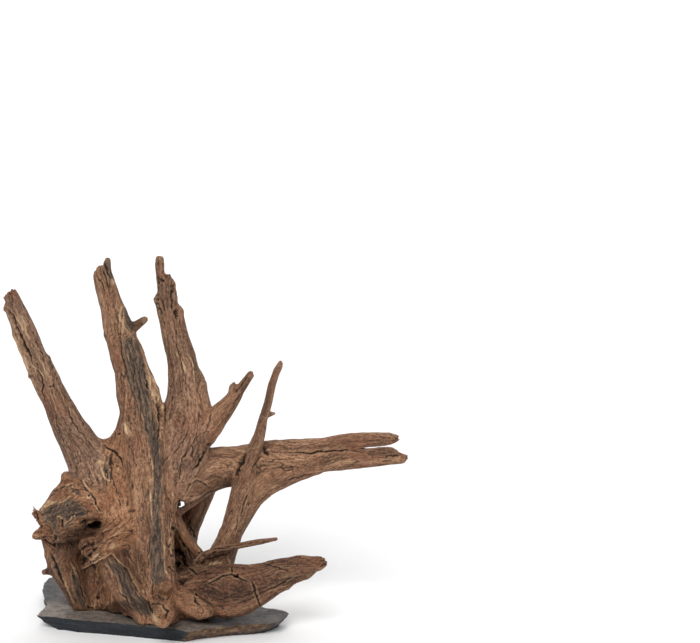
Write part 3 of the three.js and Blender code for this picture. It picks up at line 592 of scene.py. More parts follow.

# Stains and painted shade, mostly painted shade in hollows and under overhangs: place in the picture, half
# width, half height and how dark
STAINS_AND_SHADE = [
    (70, 534, 26, 12, 0.55), (93, 525, 17, 12, 0.6), (94, 524, 11, 8, 0.8), (92, 524, 10, 5, 0.9),
    (212, 614, 5, 5, 0.35), (68, 545, 20, 9, 0.4), (92, 590, 22, 30, 0.22), (118, 608, 28, 8, 0.8),
    (133, 560, 13, 22, 0.5), (72, 546, 22, 12, 0.4), (88, 552, 9, 12, 0.4), (42, 536, 6, 6, 0.3),
    (47, 571, 8, 5, 0.5), (96, 560, 10, 10, 0.2), (225, 480, 22, 9, 0.5), (200, 488, 14, 9, 0.35),
    (235, 590, 42, 24, 0.42), (285, 572, 34, 16, 0.34), (186, 560, 16, 16, 0.45), (184, 514, 8, 16, 0.5),
    (192, 530, 8, 16, 0.4), (60, 590, 14, 26, 0.3), (138, 322, 8, 8, 0.55), (165, 296, 12, 18, 0.3),
    (165, 280, 7, 8, 0.3), (170, 352, 8, 20, 0.2), (175, 400, 14, 26, 0.12), (35, 520, 6, 16, 0.5),
    (165, 590, 10, 10, 0.35), (245, 384, 5, 12, 0.4), (215, 556, 22, 9, 0.25), (290, 482, 30, 5, 0.4),
    (100, 330, 8, 40, 0.12), (205, 455, 16, 14, 0.12), (62, 425, 14, 22, 0.12), (150, 606, 16, 10, 0.25),
    (160, 598, 8, 8, 0.45),
]

# Flakes and notches that show in the outline: place, half width, half height and how far they stand out
SWELLS = [
    (158.5, 260, 6, 8, 1.1), (107, 262, 3.6, 7, 1.9), (98, 274, 5, 6, 1.3), (95, 267, 2.4, 3, -1.6),
    (101, 264, 2.4, 3, 1.2), (154, 299, 3.0, 3.6, 3.4), (181.5, 505, 3.0, 4.0, -2.6), (391, 437, 7, 4, 0.8),
    (401, 459, 5, 5, 1.0), (281, 366, 4, 6, 0.8), (251, 375, 4, 5, 0.6), (318, 563, 5, 6, 0.8),
    (12, 292, 7, 5, 0.8), (155, 289, 2.4, 4.0, -1.0), (181, 311, 3.0, 4.0, 1.2), (177, 303, 2.4, 3.4, -0.7),
    (175, 284, 2.0, 2.4, 0.5), (13, 336, 3.0, 6.0, 1.5), (4.5, 308, 2.2, 3.0, 2.4),
    (4, 303, 1.8, 2.2, -1.0), (30, 377, 2.4, 3.0, 1.7), (50, 357, 2.4, 3.4, 0.9), (46, 351, 2.0, 4.0, -0.4),
    (182, 421, 2.4, 2.0, 0.5), (300, 556, 8, 3, 0.6), (306, 584, 4, 3, 0.9), (300, 590, 3, 2, -0.8),
    (318, 560, 3, 4, 0.6), (45, 566, 3, 3, 0.6), (43, 552, 2, 5, -0.6), (36, 512, 3, 4, 0.8),
    (38, 526, 2, 3, -1.2), (42, 537, 3, 3, 0.8), (131, 617, 13, 8, -3.0), (161, 620, 8, 8, 1.4),
    (163, 627, 11, 6, 2.6), (191, 620, 18, 5, 3.2), (106, 340, 4, 18, 2.4), (111, 357, 4, 13, 2.2),
    (384, 447.5, 16, 3, 0.9), (310, 578, 8, 6, 2.0), (290, 590, 7, 5, 1.2), (319, 566, 4, 4, 1.4),
    (44, 571, 3, 3, 1.2), (144, 320, 4, 4, 0.8),
]

# Broken ends: place, direction, radius, how far they fray and how red they are
TIPS = [
    ((-103, -28, 238), (-0.35, 0, 0.94), 13, 2.0, 1.0),
    ((-41.5, 5, 250), (-0.1, 0, 1), 9, 1.6, 0.45),
    ((3.5, 12, 244), (0.1, 0, 1), 6, 1.6, 1.0),
    ((-3.5, 14, 256), (-0.05, 0, 1), 4, 0.7, 0.0),
    ((163, -14, 132.8), (1, 0, 0.05), 7, 2.2, 0.6),
    ((169, -14, 119.5), (1, 0, 0), 8, 2.4, 0.8),
    ((112, -42, 50), (0.95, 0, 0.3), 14, 2.2, 0.9),
    ((-50, 56, 108), (-0.35, 0.9, 0.2), 9, 1.2, 0.3),
    ((1.5, -77, 25), (0, -1, 0), 8, 0.6, 0.12),
    ((1, -74, 14), (0, -0.5, -0.85), 7, 0.5, 0.6),
    ((-83, -45, 77), (-0.9, -0.3, 0), 13, 1.3, 0.4),
    ((-53, -57, 65), (-0.6, -0.6, -0.3), 12, 1.1, 0.9),
    ((61, -14, 180), (0.6, 0, 0.8), 5, 1.4, 0.6),
    ((49, -14, 173), (0.4, 0, 0.9), 4, 1.0, 0.5),
    ((81.5, -6, 186), (0.4, 0, 0.9), 4, 0.8, 0.4),
    ((36, -51, 20), (0.95, -0.2, 0), 5, 1.2, 0.4),
]


# Splinters on each node: place in the picture, spread in pixels, direction in degrees there,
# length and width in millimetres, how far they curl out, how pale and how red they are, and how many
SPLINTER_RINGS, SPLINTER_SIDES = 7, 6
SPLINTERS = {
    "stump": [
        (36, 511, 2, 112, 4.5, 1.3, 0.5, 0.0, 0.6, 5), (38, 534, 1, 188, 5.5, 2.4, 0.1, 0.1, 0.2, 2),
        (60, 519, 2, 100, 2.4, 1.0, 0.5, 0.8, 0.0, 3), (72, 518, 2, 80, 2.2, 0.9, 0.5, 0.6, 0.0, 3),
        (89, 549, 4, 205, 4.5, 1.4, 0.5, 0.1, 0.8, 7), (100, 557, 4, 175, 4.0, 1.2, 0.4, 0.9, 0.0, 5),
        (157, 398, 4, 80, 4.5, 1.0, 0.4, 0.9, 0.0, 7), (159, 414, 5, 85, 4.0, 0.9, 0.4, 0.4, 0.1, 5),
        (174, 546, 5, 82, 5.0, 0.9, 0.5, 0.5, 0.2, 6), (182, 562, 5, 120, 4.5, 1.0, 0.4, 0.4, 0.1, 6),
        (151, 500, 8, 92, 3.0, 0.8, 0.4, 0.8, 0.0, 5), (66, 588, 6, 112, 3.6, 1.0, 0.4, 0.8, 0.0, 5),
        (138, 592, 4, 80, 3.0, 0.9, 0.5, 0.9, 0.0, 4), (94, 608, 4, 95, 2.6, 0.9, 0.4, 0.3, 0.2, 4),
        (106, 474, 3, 95, 2.4, 0.9, 0.4, 0.9, 0.0, 3), (96, 504, 4, 105, 3.0, 0.9, 0.5, 0.7, 0.0, 4),
    ],
    "tall_root": [
        (165, 274, 2, 75, 3.4, 1.1, 0.4, 0.0, 1.0, 8), (155, 300, 1, 100, 1.8, 1.6, 0.2, 0.0, 0.5, 3),
        (179, 312, 2, 82, 2.4, 1.4, 0.3, 0.0, 0.2, 3), (173, 285, 2, 85, 3.0, 1.0, 0.3, 0.1, 0.1, 3),
    ],
    "left_root": [
        (6, 310, 1, 118, 3.4, 1.4, 0.3, 0.0, 0.3, 2), (13, 293, 4, 85, 1.8, 1.1, 0.3, 0.0, 1.0, 8),
        (18, 342, 4, 112, 3.0, 1.0, 0.4, 0.8, 0.0, 4), (51, 359, 1, 112, 3.2, 1.2, 0.3, 0.0, 0.1, 2),
    ],
    "middle_root": [
        (113, 284, 2, 98, 2.6, 0.9, 0.4, 0.9, 0.0, 4), (98, 268, 3, 98, 2.2, 1.1, 0.3, 0.2, 0.1, 5),
        (121, 318, 5, 95, 3.0, 1.0, 0.3, 0.8, 0.0, 4),
    ],
    "split_arm": [
        (397, 438, 2, 5, 2.4, 1.1, 0.3, 0.1, 0.9, 6), (403, 459, 3, 5, 2.6, 1.3, 0.3, 0.1, 0.9, 6),
    ],
    "foot_stub": [
        (320, 564, 3, 355, 2.4, 1.1, 0.4, 0.1, 0.9, 5), (304, 589, 3, 215, 2.6, 1.1, 0.4, 0.0, 0.6, 4),
    ],
    "thin_root": [(282, 365, 1, 65, 1.4, 1.0, 0.2, 0.0, 0.5, 3)],
    "forked_root": [
        (251, 376, 1, 55, 1.6, 1.0, 0.2, 0.0, 0.8, 3), (238, 388, 2, 60, 2.6, 0.8, 0.3, 0.0, 0.4, 3),
    ],
}


def build_splinters(whole, material):
    """Thin curled slivers rooted in the surface where the wood is torn, one mesh for each node."""
    corners, _ = mesh_arrays(whole)
    normals = mesh_normals(whole, corners)
    places = picture_place(corners)
    right, upward, forward = camera_axes()
    depth = (corners - np.array(CAMERA_PLACE)) @ forward
    low, high = (np.array(corner) / MM for corner in cad_box)
    chance = random.Random(11)
    grown = {}
    rows = [(node, *row) for node, group in SPLINTERS.items() for row in group]
    for node, across, down, spread, angle, length, width, curl, pale, red, count in rows:
        verts, faces, looks = grown.setdefault(node, ([], [], []))
        for _ in range(count):
            spot = (across + chance.uniform(-spread, spread), down + chance.uniform(-spread, spread))
            under = np.flatnonzero(np.max(np.abs(places - spot), axis=1) < 1.5)
            turn = math.radians(angle + chance.uniform(-16, 16))
            reach, wide = length * chance.uniform(0.5, 1.15), width * chance.uniform(0.6, 1.1)
            bend, tone = curl * chance.uniform(0.4, 1.5), chance.uniform(0.3, 0.8)
            if not len(under):
                continue
            root = under[np.argmin(depth[under])]
            normal = normals[root]
            along = math.cos(turn) * right + math.sin(turn) * upward
            along -= 0.8 * (along @ normal) * normal
            along /= np.linalg.norm(along)
            side = np.cross(along, normal)
            side /= np.linalg.norm(side)
            first = len(verts)
            for ring in range(SPLINTER_RINGS):
                share = ring / (SPLINTER_RINGS - 1)
                middle = corners[root] - 0.7 * normal + along * reach * (share - 0.25)
                middle = middle + normal * (0.5 * min(share * 4, 1) + bend * reach * share**2 * 0.5)
                half = 0.5 * wide * (1 - share) ** 0.6 + 0.04
                for step in range(SPLINTER_SIDES):
                    around = math.tau * step / SPLINTER_SIDES
                    place = middle + side * half * math.cos(around) + normal * 0.45 * half * math.sin(around)
                    verts.append(np.clip(place, low + 0.05, high - 0.05) * MM)
                    looks.append((tone, pale, red * (0.6 + 0.4 * share)))
            for row in range(first, len(verts) - SPLINTER_SIDES, SPLINTER_SIDES):
                for step in range(SPLINTER_SIDES):
                    start, end = row + step, row + (step + 1) % SPLINTER_SIDES
                    faces.append((start, end, end + SPLINTER_SIDES, start + SPLINTER_SIDES))
            faces.append(tuple(range(first + SPLINTER_SIDES - 1, first - 1, -1)))
            faces.append(tuple(range(len(verts) - SPLINTER_SIDES, len(verts))))
    for node, (verts, faces, looks) in grown.items():
        mesh = bpy.data.meshes.new(node)
        mesh.from_pydata(verts, [], faces)
        smooth_faces(mesh)
        store(mesh, dict(zip(("tint", "pale", "red"), np.array(looks).T)) | {"flow": np.array(verts) / MM})
        add_piece(f"wood_splinters_{node}", mesh, material, "wood", node)


def strongest(field, chosen, values):
    """Raises a field at the chosen corners to the values that are above it."""
    field[chosen] = np.maximum(field[chosen], values)


def taper_of(along, uneven=0.0):
    """How a drawn line narrows to both its ends."""
    return np.clip(1 - (2 * along - 1) ** 4, 0, 1) * (1 + uneven)


def wood_surface(mesh):
    """Moves the corners of the joined wood and stores what its material reads."""
    corners, edges = mesh_arrays(mesh)
    relaxer = Relaxer(len(corners), edges)
    near, values, next_near, next_values = beside_all(corners)
    radius = values[:, 1]

    # The faceted solid is rounded off, and its creases are filled where limbs meet
    soft = np.clip((radius - 1.5) / 10, 0.04, 1) * 0.5
    corners = relaxer.relax(corners, 36, soft)
    normals = mesh_normals(mesh, corners)
    broad = relaxer.relax(corners, 120, soft)
    fill = np.clip(np.einsum("ij,ij->i", broad - corners, normals), -0.4, 2.6)
    fill *= np.clip((radius - 5) / 8, 0, 1)
    corners = relaxer.relax(corners + normals * fill[:, None], 8, soft)
    normals = mesh_normals(mesh, corners)

    # Relief drawn out along the grain, blended where two limbs meet
    first = grain_place(values, corners)
    second = grain_place(next_values, corners)
    share = 0.5 * np.exp(-(((next_near - near) / 0.12) ** 2))[:, None]
    fields = grain_fields(first) * (1 - share) + grain_fields(second) * share
    ridges, fibres, threads, sheets, splits, streaks = fields.T
    size = np.clip(radius / 11, 0.22, 1)
    lumps = noise(corners / 17, 20) + 0.5 * noise(corners / 7, 21)
    patchy = smooth_step(noise(corners / 38, 22), -0.25, 0.25)
    sheet = smooth_step(sheets, 0.06, 0.12) * patchy
    sheet_edge = np.exp(-(((sheets - 0.07) / 0.07) ** 2)) * patchy
    split = np.exp(-((splits / 0.035) ** 2)) * smooth_step(noise(corners / 26, 23), 0.0, 0.3)
    relief = size * (0.75 * ridges + 0.2 * fibres + 0.14 * threads + 0.55 * lumps)
    relief += size * 0.35 * (sheet - 0.5 * patchy) - np.minimum(size, 0.8) * 0.8 * split

    # What the picture shows at a known place
    forward = camera_axes()[2]
    wobble = 1.1 * np.stack([noise(corners / 5, 24), noise(corners / 5, 25)], axis=1)
    wobble += 0.5 * np.stack([noise(corners / 1.8, 33), noise(corners / 1.8, 34)], axis=1)
    drawing = Drawing(picture_place(corners) + wobble, smooth_step(-(normals @ forward), 0.02, 0.3))
    uneven = noise(corners / 3, 31)
    # The crack field gathers painted shade: in splits, cracks, pits and at the foot of torn edges
    crack, bark, pale, red = split * 0.6, np.zeros(len(corners)), sheet_edge * 0.2, np.zeros(len(corners))
    stain_and_shade = np.zeros(len(corners))
    for half_width, depth, *stroke in CRACKS:
        near_by, distance, along, _, facing = drawing.stroke(stroke, 3 * half_width)
        taper = taper_of(along, 0.7 * uneven[near_by])
        width = half_width * (0.3 + 0.6 * taper)
        mark = np.exp(-((distance / width) ** 2)) * facing * (0.2 + 0.8 * np.clip(taper, 0, 1.2))
        relief[near_by] -= depth * mark
        strongest(crack, near_by, mark * np.clip(0.35 + 0.3 * depth, 0, 1))
    for height, *outline in BARK:
        near_by, distance, facing = drawing.area(outline, 7)
        ragged = distance + 1.2 * sheets[near_by] + 0.9 * noise(first[near_by] / (2.2, 2.2, 6), 26)
        cover = smooth_step(-ragged, -0.4, 0.5) * facing
        relief[near_by] += height * (cover - 0.25) * (1 - smooth_step(distance, 3, 6)) * facing
        torn = smooth_step(noise(first[near_by] / (4, 4, 9), 32), -0.2, 0.4)
        edge = 0.4 * np.exp(-(((ragged - 0.9) / 0.8) ** 2)) * torn * facing
        strongest(pale, near_by, edge)
        strongest(bark, near_by, cover)
    for half_width, height, *stroke in RIMS:
        near_by, distance, along, _, facing = drawing.stroke(stroke, 3 * half_width)
        taper = taper_of(along)
        mark = np.exp(-((distance / half_width) ** 2)) * (0.4 + 0.6 * taper) * facing
        relief[near_by] += height * mark
        strongest(pale, near_by, mark * (0.85 + 0.3 * uneven[near_by]))
        bark[near_by] *= 1 - np.clip(mark, 0, 1)
    for reach, drop, *stroke in LEDGES:
        near_by, distance, along, side, facing = drawing.stroke(stroke, 3 * reach)
        taper = np.sqrt(np.clip(1 - (2 * along - 1) ** 2, 0, 1))
        signed = distance * side
        lower = smooth_step(signed, -0.3, 0.8) * np.exp(-np.clip(signed, 0, None) / reach)
        upper = (1 - smooth_step(signed, -0.3, 0.8)) * np.exp(np.clip(signed, None, 0) / reach)
        relief[near_by] += drop * (0.35 * upper - 0.65 * lower) * taper * facing
        edge = 0.28 * np.exp(-(((signed + 0.6) / 0.8) ** 2)) * taper * facing
        strongest(pale, near_by, edge)
        # Painted shadow: a dark line at the foot of the torn edge
        foot = 0.35 * np.exp(-(((signed - 0.9) / 0.7) ** 2)) * taper * facing
        strongest(crack, near_by, foot)
    for across, down, wide, tall, depth in PITS:
        near_by, distance, facing = drawing.spot(across, down, wide, tall, 3)
        hollow = np.exp(-(distance**2)) * facing
        relief[near_by] -= depth * hollow
        # Painted shadow in the pit, kept with the crack marks
        shadow = 0.85 * smooth_step(hollow * np.clip(depth / 2.6, 0, 1), 0.2, 1.0)
        strongest(crack, near_by, shadow)
    # Stains and painted shade: soft dark spots, mostly where shade falls in hollows and under overhangs
    for across, down, wide, tall, amount in STAINS_AND_SHADE:
        near_by, distance, facing = drawing.spot(across, down, wide, tall, 1.4)
        shadow = amount * (1 - smooth_step(distance + 0.15 * lumps[near_by], 0.4, 1.2)) * facing
        strongest(stain_and_shade, near_by, shadow)
    for across, down, wide, tall, reach in SWELLS:
        distance = np.hypot(*((drawing.places - (across, down)) / (wide, tall)).T)
        relief += reach * np.exp(-(distance**2))
    relief = np.clip(relief, -6.5, 3.4)

    # Broken ends fray into fibres
    push = np.zeros_like(corners)
    for place, direction, reach, fray, redness in TIPS:
        direction = np.array(direction, float) / np.linalg.norm(direction)
        offset = corners - np.array(place, float)
        ahead = offset @ direction
        beside = np.linalg.norm(offset - ahead[:, None] * direction, axis=1)
        end = smooth_step(ahead, -0.75 * reach, 0.0) * (beside < reach + 2) * (ahead < 8)
        spikes = noise(offset @ (np.eye(3) - np.outer(direction, direction)) / 1.7, 27)
        push += (end * fray * (spikes + 0.1))[:, None] * direction
        red = np.maximum(red, redness * end * smooth_step(noise(corners / 4, 28), -0.5, 0.3))
    corners = corners + normals * relief[:, None] + push
    corners = relaxer.relax(corners, 1, 0.35 + 0 * soft)
    low, high = (np.array(corner) / MM for corner in cad_box)
    corners = np.clip(corners, low + 0.05, high - 0.05)
    corners[:, 2] = np.maximum(corners[:, 2], WOOD_FLOOR)

    # Hollows are darker and edges lighter, as painted shade in hollows and a painted highlight with wear on
    # edges; the wood is also darker towards the bottom
    normals = mesh_normals(mesh, corners)
    near_hollow = np.einsum("ij,ij->i", relaxer.relax(corners, 4) - corners, normals)
    wide_hollow = np.einsum("ij,ij->i", relaxer.relax(corners, 40) - corners, normals)
    set_corners(mesh, corners)
    # The wood is darker towards the bottom, near the slate
    darker_low_down = smooth_step(noise(corners / 12, 35) - (corners[:, 2] - 13) / 4, -0.5, 1.0)
    stain_and_shade = np.maximum(stain_and_shade, 0.45 * darker_low_down)
    looks = np.array(list(LINE_LOOKS.values()))
    here, beyond = looks[values[:, 7].astype(int)], looks[next_values[:, 7].astype(int)]
    grey, dark = (here * (1 - share) + beyond * share).T
    store(mesh, {
        "tint": 0.5 + 0.3 * streaks + 0.22 * ridges + 0.2 * noise(corners / 30, 30),
        "crack": np.clip(crack, 0, 1), "bark": bark, "pale": np.clip(pale, 0, 1), "red": red,
        "hollow": near_hollow, "deep": wide_hollow, "stain_and_shade": stain_and_shade, "grey": grey, "dark": dark,
        "blend": share[:, 0], "flow": first, "next_flow": second,
    })


class Shader:
    """Short calls for the nodes of one material."""

    def __init__(self, name):
        self.material = bpy.data.materials.new(name)
        self.material.use_nodes = True
        self.tree = self.material.node_tree
        self.surface = self.tree.nodes["Principled BSDF"]

    def node(self, kind, **settings):
        made = self.tree.nodes.new(kind)
        for name, value in settings.items():
            setattr(made, name, value)
        return made

    def link(self, source, target):
        if isinstance(source, bpy.types.NodeSocket):
            self.tree.links.new(source, target)
        else:
            target.default_value = source
        return target

    def field(self, name):
        return self.node("ShaderNodeAttribute", attribute_name=name).outputs["Fac"]

    def vector(self, name):
        return self.node("ShaderNodeAttribute", attribute_name=name).outputs["Vector"]

    def math(self, operation, first, second):
        made = self.node("ShaderNodeMath", operation=operation)
        self.link(first, made.inputs[0])
        self.link(second, made.inputs[1])
        return made.outputs[0]

    def times(self, first, second):
        return self.math("MULTIPLY", first, second)

    def plus(self, first, second):
        return self.math("ADD", first, second)

    def span(self, value, low, high, to_low=0.0, to_high=1.0):
        made = self.node("ShaderNodeMapRange", interpolation_type="SMOOTHSTEP")
        for socket, number in zip(made.inputs, (value, low, high, to_low, to_high)):
            self.link(number, socket)
        return made.outputs["Result"]

    def noise(self, place, scale, detail=4.0, roughness=0.55, distortion=0.0):
        stretch = self.node("ShaderNodeMapping")
        self.link(place, stretch.inputs["Vector"])
        stretch.inputs["Scale"].default_value = scale
        made = self.node("ShaderNodeTexNoise")
        self.link(stretch.outputs["Vector"], made.inputs["Vector"])
        made.inputs["Scale"].default_value = 1.0
        made.inputs["Detail"].default_value = detail
        made.inputs["Roughness"].default_value = roughness
        made.inputs["Distortion"].default_value = distortion
        return made.outputs["Fac"]

    def mix(self, share, first, second, blend="MIX"):
        made = self.node("ShaderNodeMix", data_type="RGBA", blend_type=blend)
        self.link(share, made.inputs[0])
        self.link(first, made.inputs[6])
        self.link(second, made.inputs[7])
        return made.outputs[2]

    def ramp(self, value, stops):
        made = self.node("ShaderNodeValToRGB")
        elements = made.color_ramp.elements
        while len(elements) < len(stops):
            elements.new(0.5)
        for element, (place, colour) in zip(elements, stops):
            element.position = place
            element.color = colour
        self.link(value, made.inputs[0])
        return made.outputs[0]

    def bump(self, height, distance, strength=1.0, under=None):
        made = self.node("ShaderNodeBump")
        made.inputs["Strength"].default_value = strength
        made.inputs["Distance"].default_value = distance * MM
        self.link(height, made.inputs["Height"])
        if under is not None:
            self.link(under, made.inputs["Normal"])
        return made.outputs[0]


def shade(red, green, blue):
    """A screen colour from 0 to 255 as the shader's linear colour."""
    def linear(value):
        value /= 255
        return value / 12.92 if value <= 0.04045 else ((value + 0.055) / 1.055) ** 2.4

    return (linear(red), linear(green), linear(blue), 1.0)


def wood_material():
    """Weathered brown wood: streaks along the grain, dark bark, pale torn edges and reddish broken ends."""
    s = Shader("weathered_wood")
    flow, next_flow, blend = s.vector("flow"), s.vector("next_flow"), s.field("blend")
    place = s.node("ShaderNodeTexCoord").outputs["Object"]

    def grain(scale, detail, roughness, distortion):
        first = s.noise(flow, scale, detail, roughness, distortion)
        second = s.noise(next_flow, scale, detail, roughness, distortion)
        return s.plus(first, s.times(blend, s.math("SUBTRACT", second, first)))

    fine = grain((0.8, 0.8, 0.1), 6.0, 0.65, 0.4)
    thread = grain((1.2, 1.2, 0.22), 4.0, 0.7, 0.5)
    blotch = s.noise(place, (55, 55, 55), 5.0, 0.55)
    speck = grain((0.9, 0.9, 0.42), 4.0, 0.75, 0.0)

    tone = s.plus(s.times(s.field("tint"), 0.3), s.times(fine, 0.4))
    tone = s.plus(tone, s.plus(s.times(thread, 0.75), -0.215))
    tone = s.plus(tone, s.times(s.math("SUBTRACT", speck, 0.5), 0.98))
    colour = s.ramp(tone, [
        (0.32, shade(70, 46, 32)), (0.43, shade(108, 74, 52)), (0.52, shade(142, 99, 70)),
        (0.61, shade(166, 121, 87)), (0.74, shade(190, 150, 116)),
    ])
    pore = s.span(grain((0.85, 0.85, 0.26), 5.0, 0.7, 0.8), 0.56, 0.68)
    colour = s.mix(s.times(pore, 0.65), colour, shade(58, 37, 26))
    fleck = s.span(grain((0.95, 0.95, 0.3), 5.0, 0.75, 0.8), 0.42, 0.32)
    colour = s.mix(s.times(fleck, 0.6), colour, shade(212, 176, 142))
    warm = s.span(blotch, 0.42, 0.66)
    colour = s.mix(s.times(warm, 0.3), colour, shade(140, 92, 60))
    ruddy = s.span(s.noise(place, (40, 40, 40), 3.0), 0.5, 0.66)
    colour = s.mix(s.times(ruddy, 0.35), colour, shade(132, 78, 52))
    grey = s.times(s.field("grey"), s.span(s.noise(place, (28, 28, 28), 4.0), 0.3, 0.65, 0.5, 1.0))
    ash = s.ramp(tone, [(0.32, shade(74, 62, 54)), (0.52, shade(122, 104, 92)), (0.74, shade(172, 154, 138))])
    colour = s.mix(grey, colour, ash)
    # Darker along some lines: partly the wood's own colour, partly painted shade on lower, shaded limbs
    dull = s.ramp(tone, [(0.36, shade(30, 18, 13)), (0.68, shade(122, 81, 60))])
    colour = s.mix(s.field("dark"), colour, dull)

    frayed = s.times(s.field("red"), s.span(speck, 0.3, 0.6, 0.45, 0.95))
    rust = s.ramp(thread, [(0.38, shade(38, 18, 13)), (0.62, shade(140, 64, 40))])
    colour = s.mix(frayed, colour, rust)
    torn = s.times(s.field("pale"), s.span(fine, 0.36, 0.6, 0.25, 1.0))
    colour = s.mix(torn, colour, shade(214, 182, 142))
    bark_shade = s.ramp(s.noise(flow, (0.7, 0.7, 0.12), 6.0, 0.7), [
        (0.34, shade(28, 22, 18)), (0.45, shade(58, 47, 39)),
        (0.55, shade(88, 73, 61)), (0.68, shade(134, 112, 92)),
    ])
    worn_bark = s.plus(thread, s.math("SUBTRACT", speck, 0.5))
    crust = s.times(s.field("bark"), s.span(worn_bark, 0.64, 0.5, 0.7, 1.0))
    colour = s.mix(crust, colour, bark_shade)
    # Painted shade: darker in hollows and in broad recesses
    hollow = s.span(s.field("hollow"), 0.005, 0.11)
    deep = s.span(s.field("deep"), 0.1, 1.6)
    colour = s.mix(s.times(hollow, 0.65), colour, shade(36, 24, 17))
    colour = s.mix(s.times(deep, 0.6), colour, shade(44, 28, 19))
    # Stains and painted shade, multiplied into the colour
    colour = s.mix(s.field("stain_and_shade"), colour, shade(98, 84, 76), "MULTIPLY")
    # Painted shade in cracks, splits, pits and at the foot of torn edges
    colour = s.mix(s.times(s.field("crack"), 0.82), colour, shade(24, 16, 12))
    # Painted highlight with wear: convex edges are lighter
    worn_and_highlit = s.span(s.field("hollow"), -0.03, -0.13)
    colour = s.mix(s.times(worn_and_highlit, 0.24), colour, shade(188, 150, 114))
    s.link(colour, s.surface.inputs["Base Color"])
    s.link(s.span(fine, 0.3, 0.7, 0.86, 0.68), s.surface.inputs["Roughness"])
    s.surface.inputs["Specular IOR Level"].default_value = 0.32
    relief = s.bump(s.math("SUBTRACT", fine, s.times(pore, 0.35)), 1.0)
    relief = s.bump(thread, 0.8, 1.0, relief)
    s.link(s.bump(speck, 0.4, 1.0, relief), s.surface.inputs["Normal"])
    return s.material


def slate_material():
    """Dark riven slate: layered sides, a dusty top with painted light towards the front, pale top edges that
    are partly a painted highlight, and rusty streaks on the broken edge.
    """
    s = Shader("riven_slate")
    place = s.node("ShaderNodeTexCoord").outputs["Object"]
    blotch = s.noise(place, (24, 24, 24), 6.0, 0.6)
    fine = s.noise(place, (260, 260, 260), 6.0, 0.72)
    grit = s.noise(place, (900, 900, 900), 3.0, 0.7)
    layer = s.noise(place, (30, 30, 900), 4.0, 0.6, 0.4)
    dust_and_front_light = s.field("dust_and_front_light")
    tone = s.plus(s.times(blotch, 0.45), s.times(s.plus(fine, grit), 0.28))
    colour = s.ramp(tone, [
        (0.36, shade(34, 34, 35)), (0.5, shade(54, 53, 53)), (0.64, shade(84, 81, 78)),
    ])
    # Dust, and painted light towards the front of the top
    colour = s.mix(s.times(dust_and_front_light, s.span(fine, 0.35, 0.62, 0.3, 0.85)), colour, shade(140, 127, 116))
    sides = s.ramp(layer, [(0.35, shade(14, 18, 22)), (0.55, shade(26, 31, 36)), (0.75, shade(44, 51, 58))])
    colour = s.mix(s.field("side"), colour, sides)
    rusty = s.ramp(fine, [(0.36, shade(50, 34, 22)), (0.52, shade(98, 72, 49)), (0.66, shade(152, 120, 86))])
    rust = s.times(s.field("rust"), s.span(layer, 0.36, 0.5, 0.45, 1.0))
    colour = s.mix(rust, colour, rusty)
    # Pale top edges: chipped edges with a painted highlight
    colour = s.mix(s.times(s.field("rim"), 0.6), colour, shade(138, 132, 124))
    s.link(colour, s.surface.inputs["Base Color"])
    s.link(s.span(fine, 0.3, 0.7, 0.72, 0.56), s.surface.inputs["Roughness"])
    s.surface.inputs["Specular IOR Level"].default_value = 0.4
    relief = s.bump(blotch, 1.2)
    s.link(s.bump(fine, 0.6, 1.0, relief), s.surface.inputs["Normal"])
    return s.material


# The heights where the stump's fine mesh is parted again, to keep each piece light
STUMP_LEVELS = (36, 68, 104)
WHOLE_WIDTH = 400


def cut_mesh(mesh, cuts):
    """Parts a mesh along flat cuts, each a point, a direction and a radius, and keeps its smooth shading."""
    starts = read(mesh.polygons, "loop_start", kind=np.int32)
    places = mesh_arrays(mesh)[0][read(mesh.loops, "vertex_index", kind=np.int32)[starts]]
    if "shading" not in mesh.attributes:
        store(mesh, {"shading": read(mesh.vertex_normals, "vector", 3)})
    bm = bmesh.new()
    bm.from_mesh(mesh)
    bm.faces.ensure_lookup_table()
    plans = []
    for point, direction, radius in cuts:
        offset = places - np.array(point)
        height = offset @ (np.array(direction) / np.linalg.norm(direction))
        beside = (np.abs(height) < 3) & (np.linalg.norm(offset, axis=1) < radius + 3)
        plans.append([bm.faces[index] for index in np.flatnonzero(beside)])
    for (point, direction, _), faces in zip(cuts, plans):
        edges = {edge for face in faces for edge in face.edges}
        verts = {vert for face in faces for vert in face.verts}
        made = bmesh.ops.bisect_plane(
            bm, geom=[*verts, *edges, *faces], dist=1e-7,
            plane_co=Vector(point) * MM, plane_no=Vector(direction).normalized(),
        )
        rim = [piece for piece in made["geom_cut"] if isinstance(piece, bmesh.types.BMEdge)]
        bmesh.ops.split_edges(bm, edges=rim)
    bm.to_mesh(mesh)
    bm.free()


def loose_parts(mesh):
    """The number of the connected part that each corner is in."""
    edges = mesh_arrays(mesh)[1]
    label = np.arange(len(mesh.vertices))
    while True:
        lowest = np.minimum(label[edges[:, 0]], label[edges[:, 1]])
        before = label.copy()
        np.minimum.at(label, edges[:, 0], lowest)
        np.minimum.at(label, edges[:, 1], lowest)
        label = label[label]
        label = label[label]
        if np.array_equal(before, label):
            return label


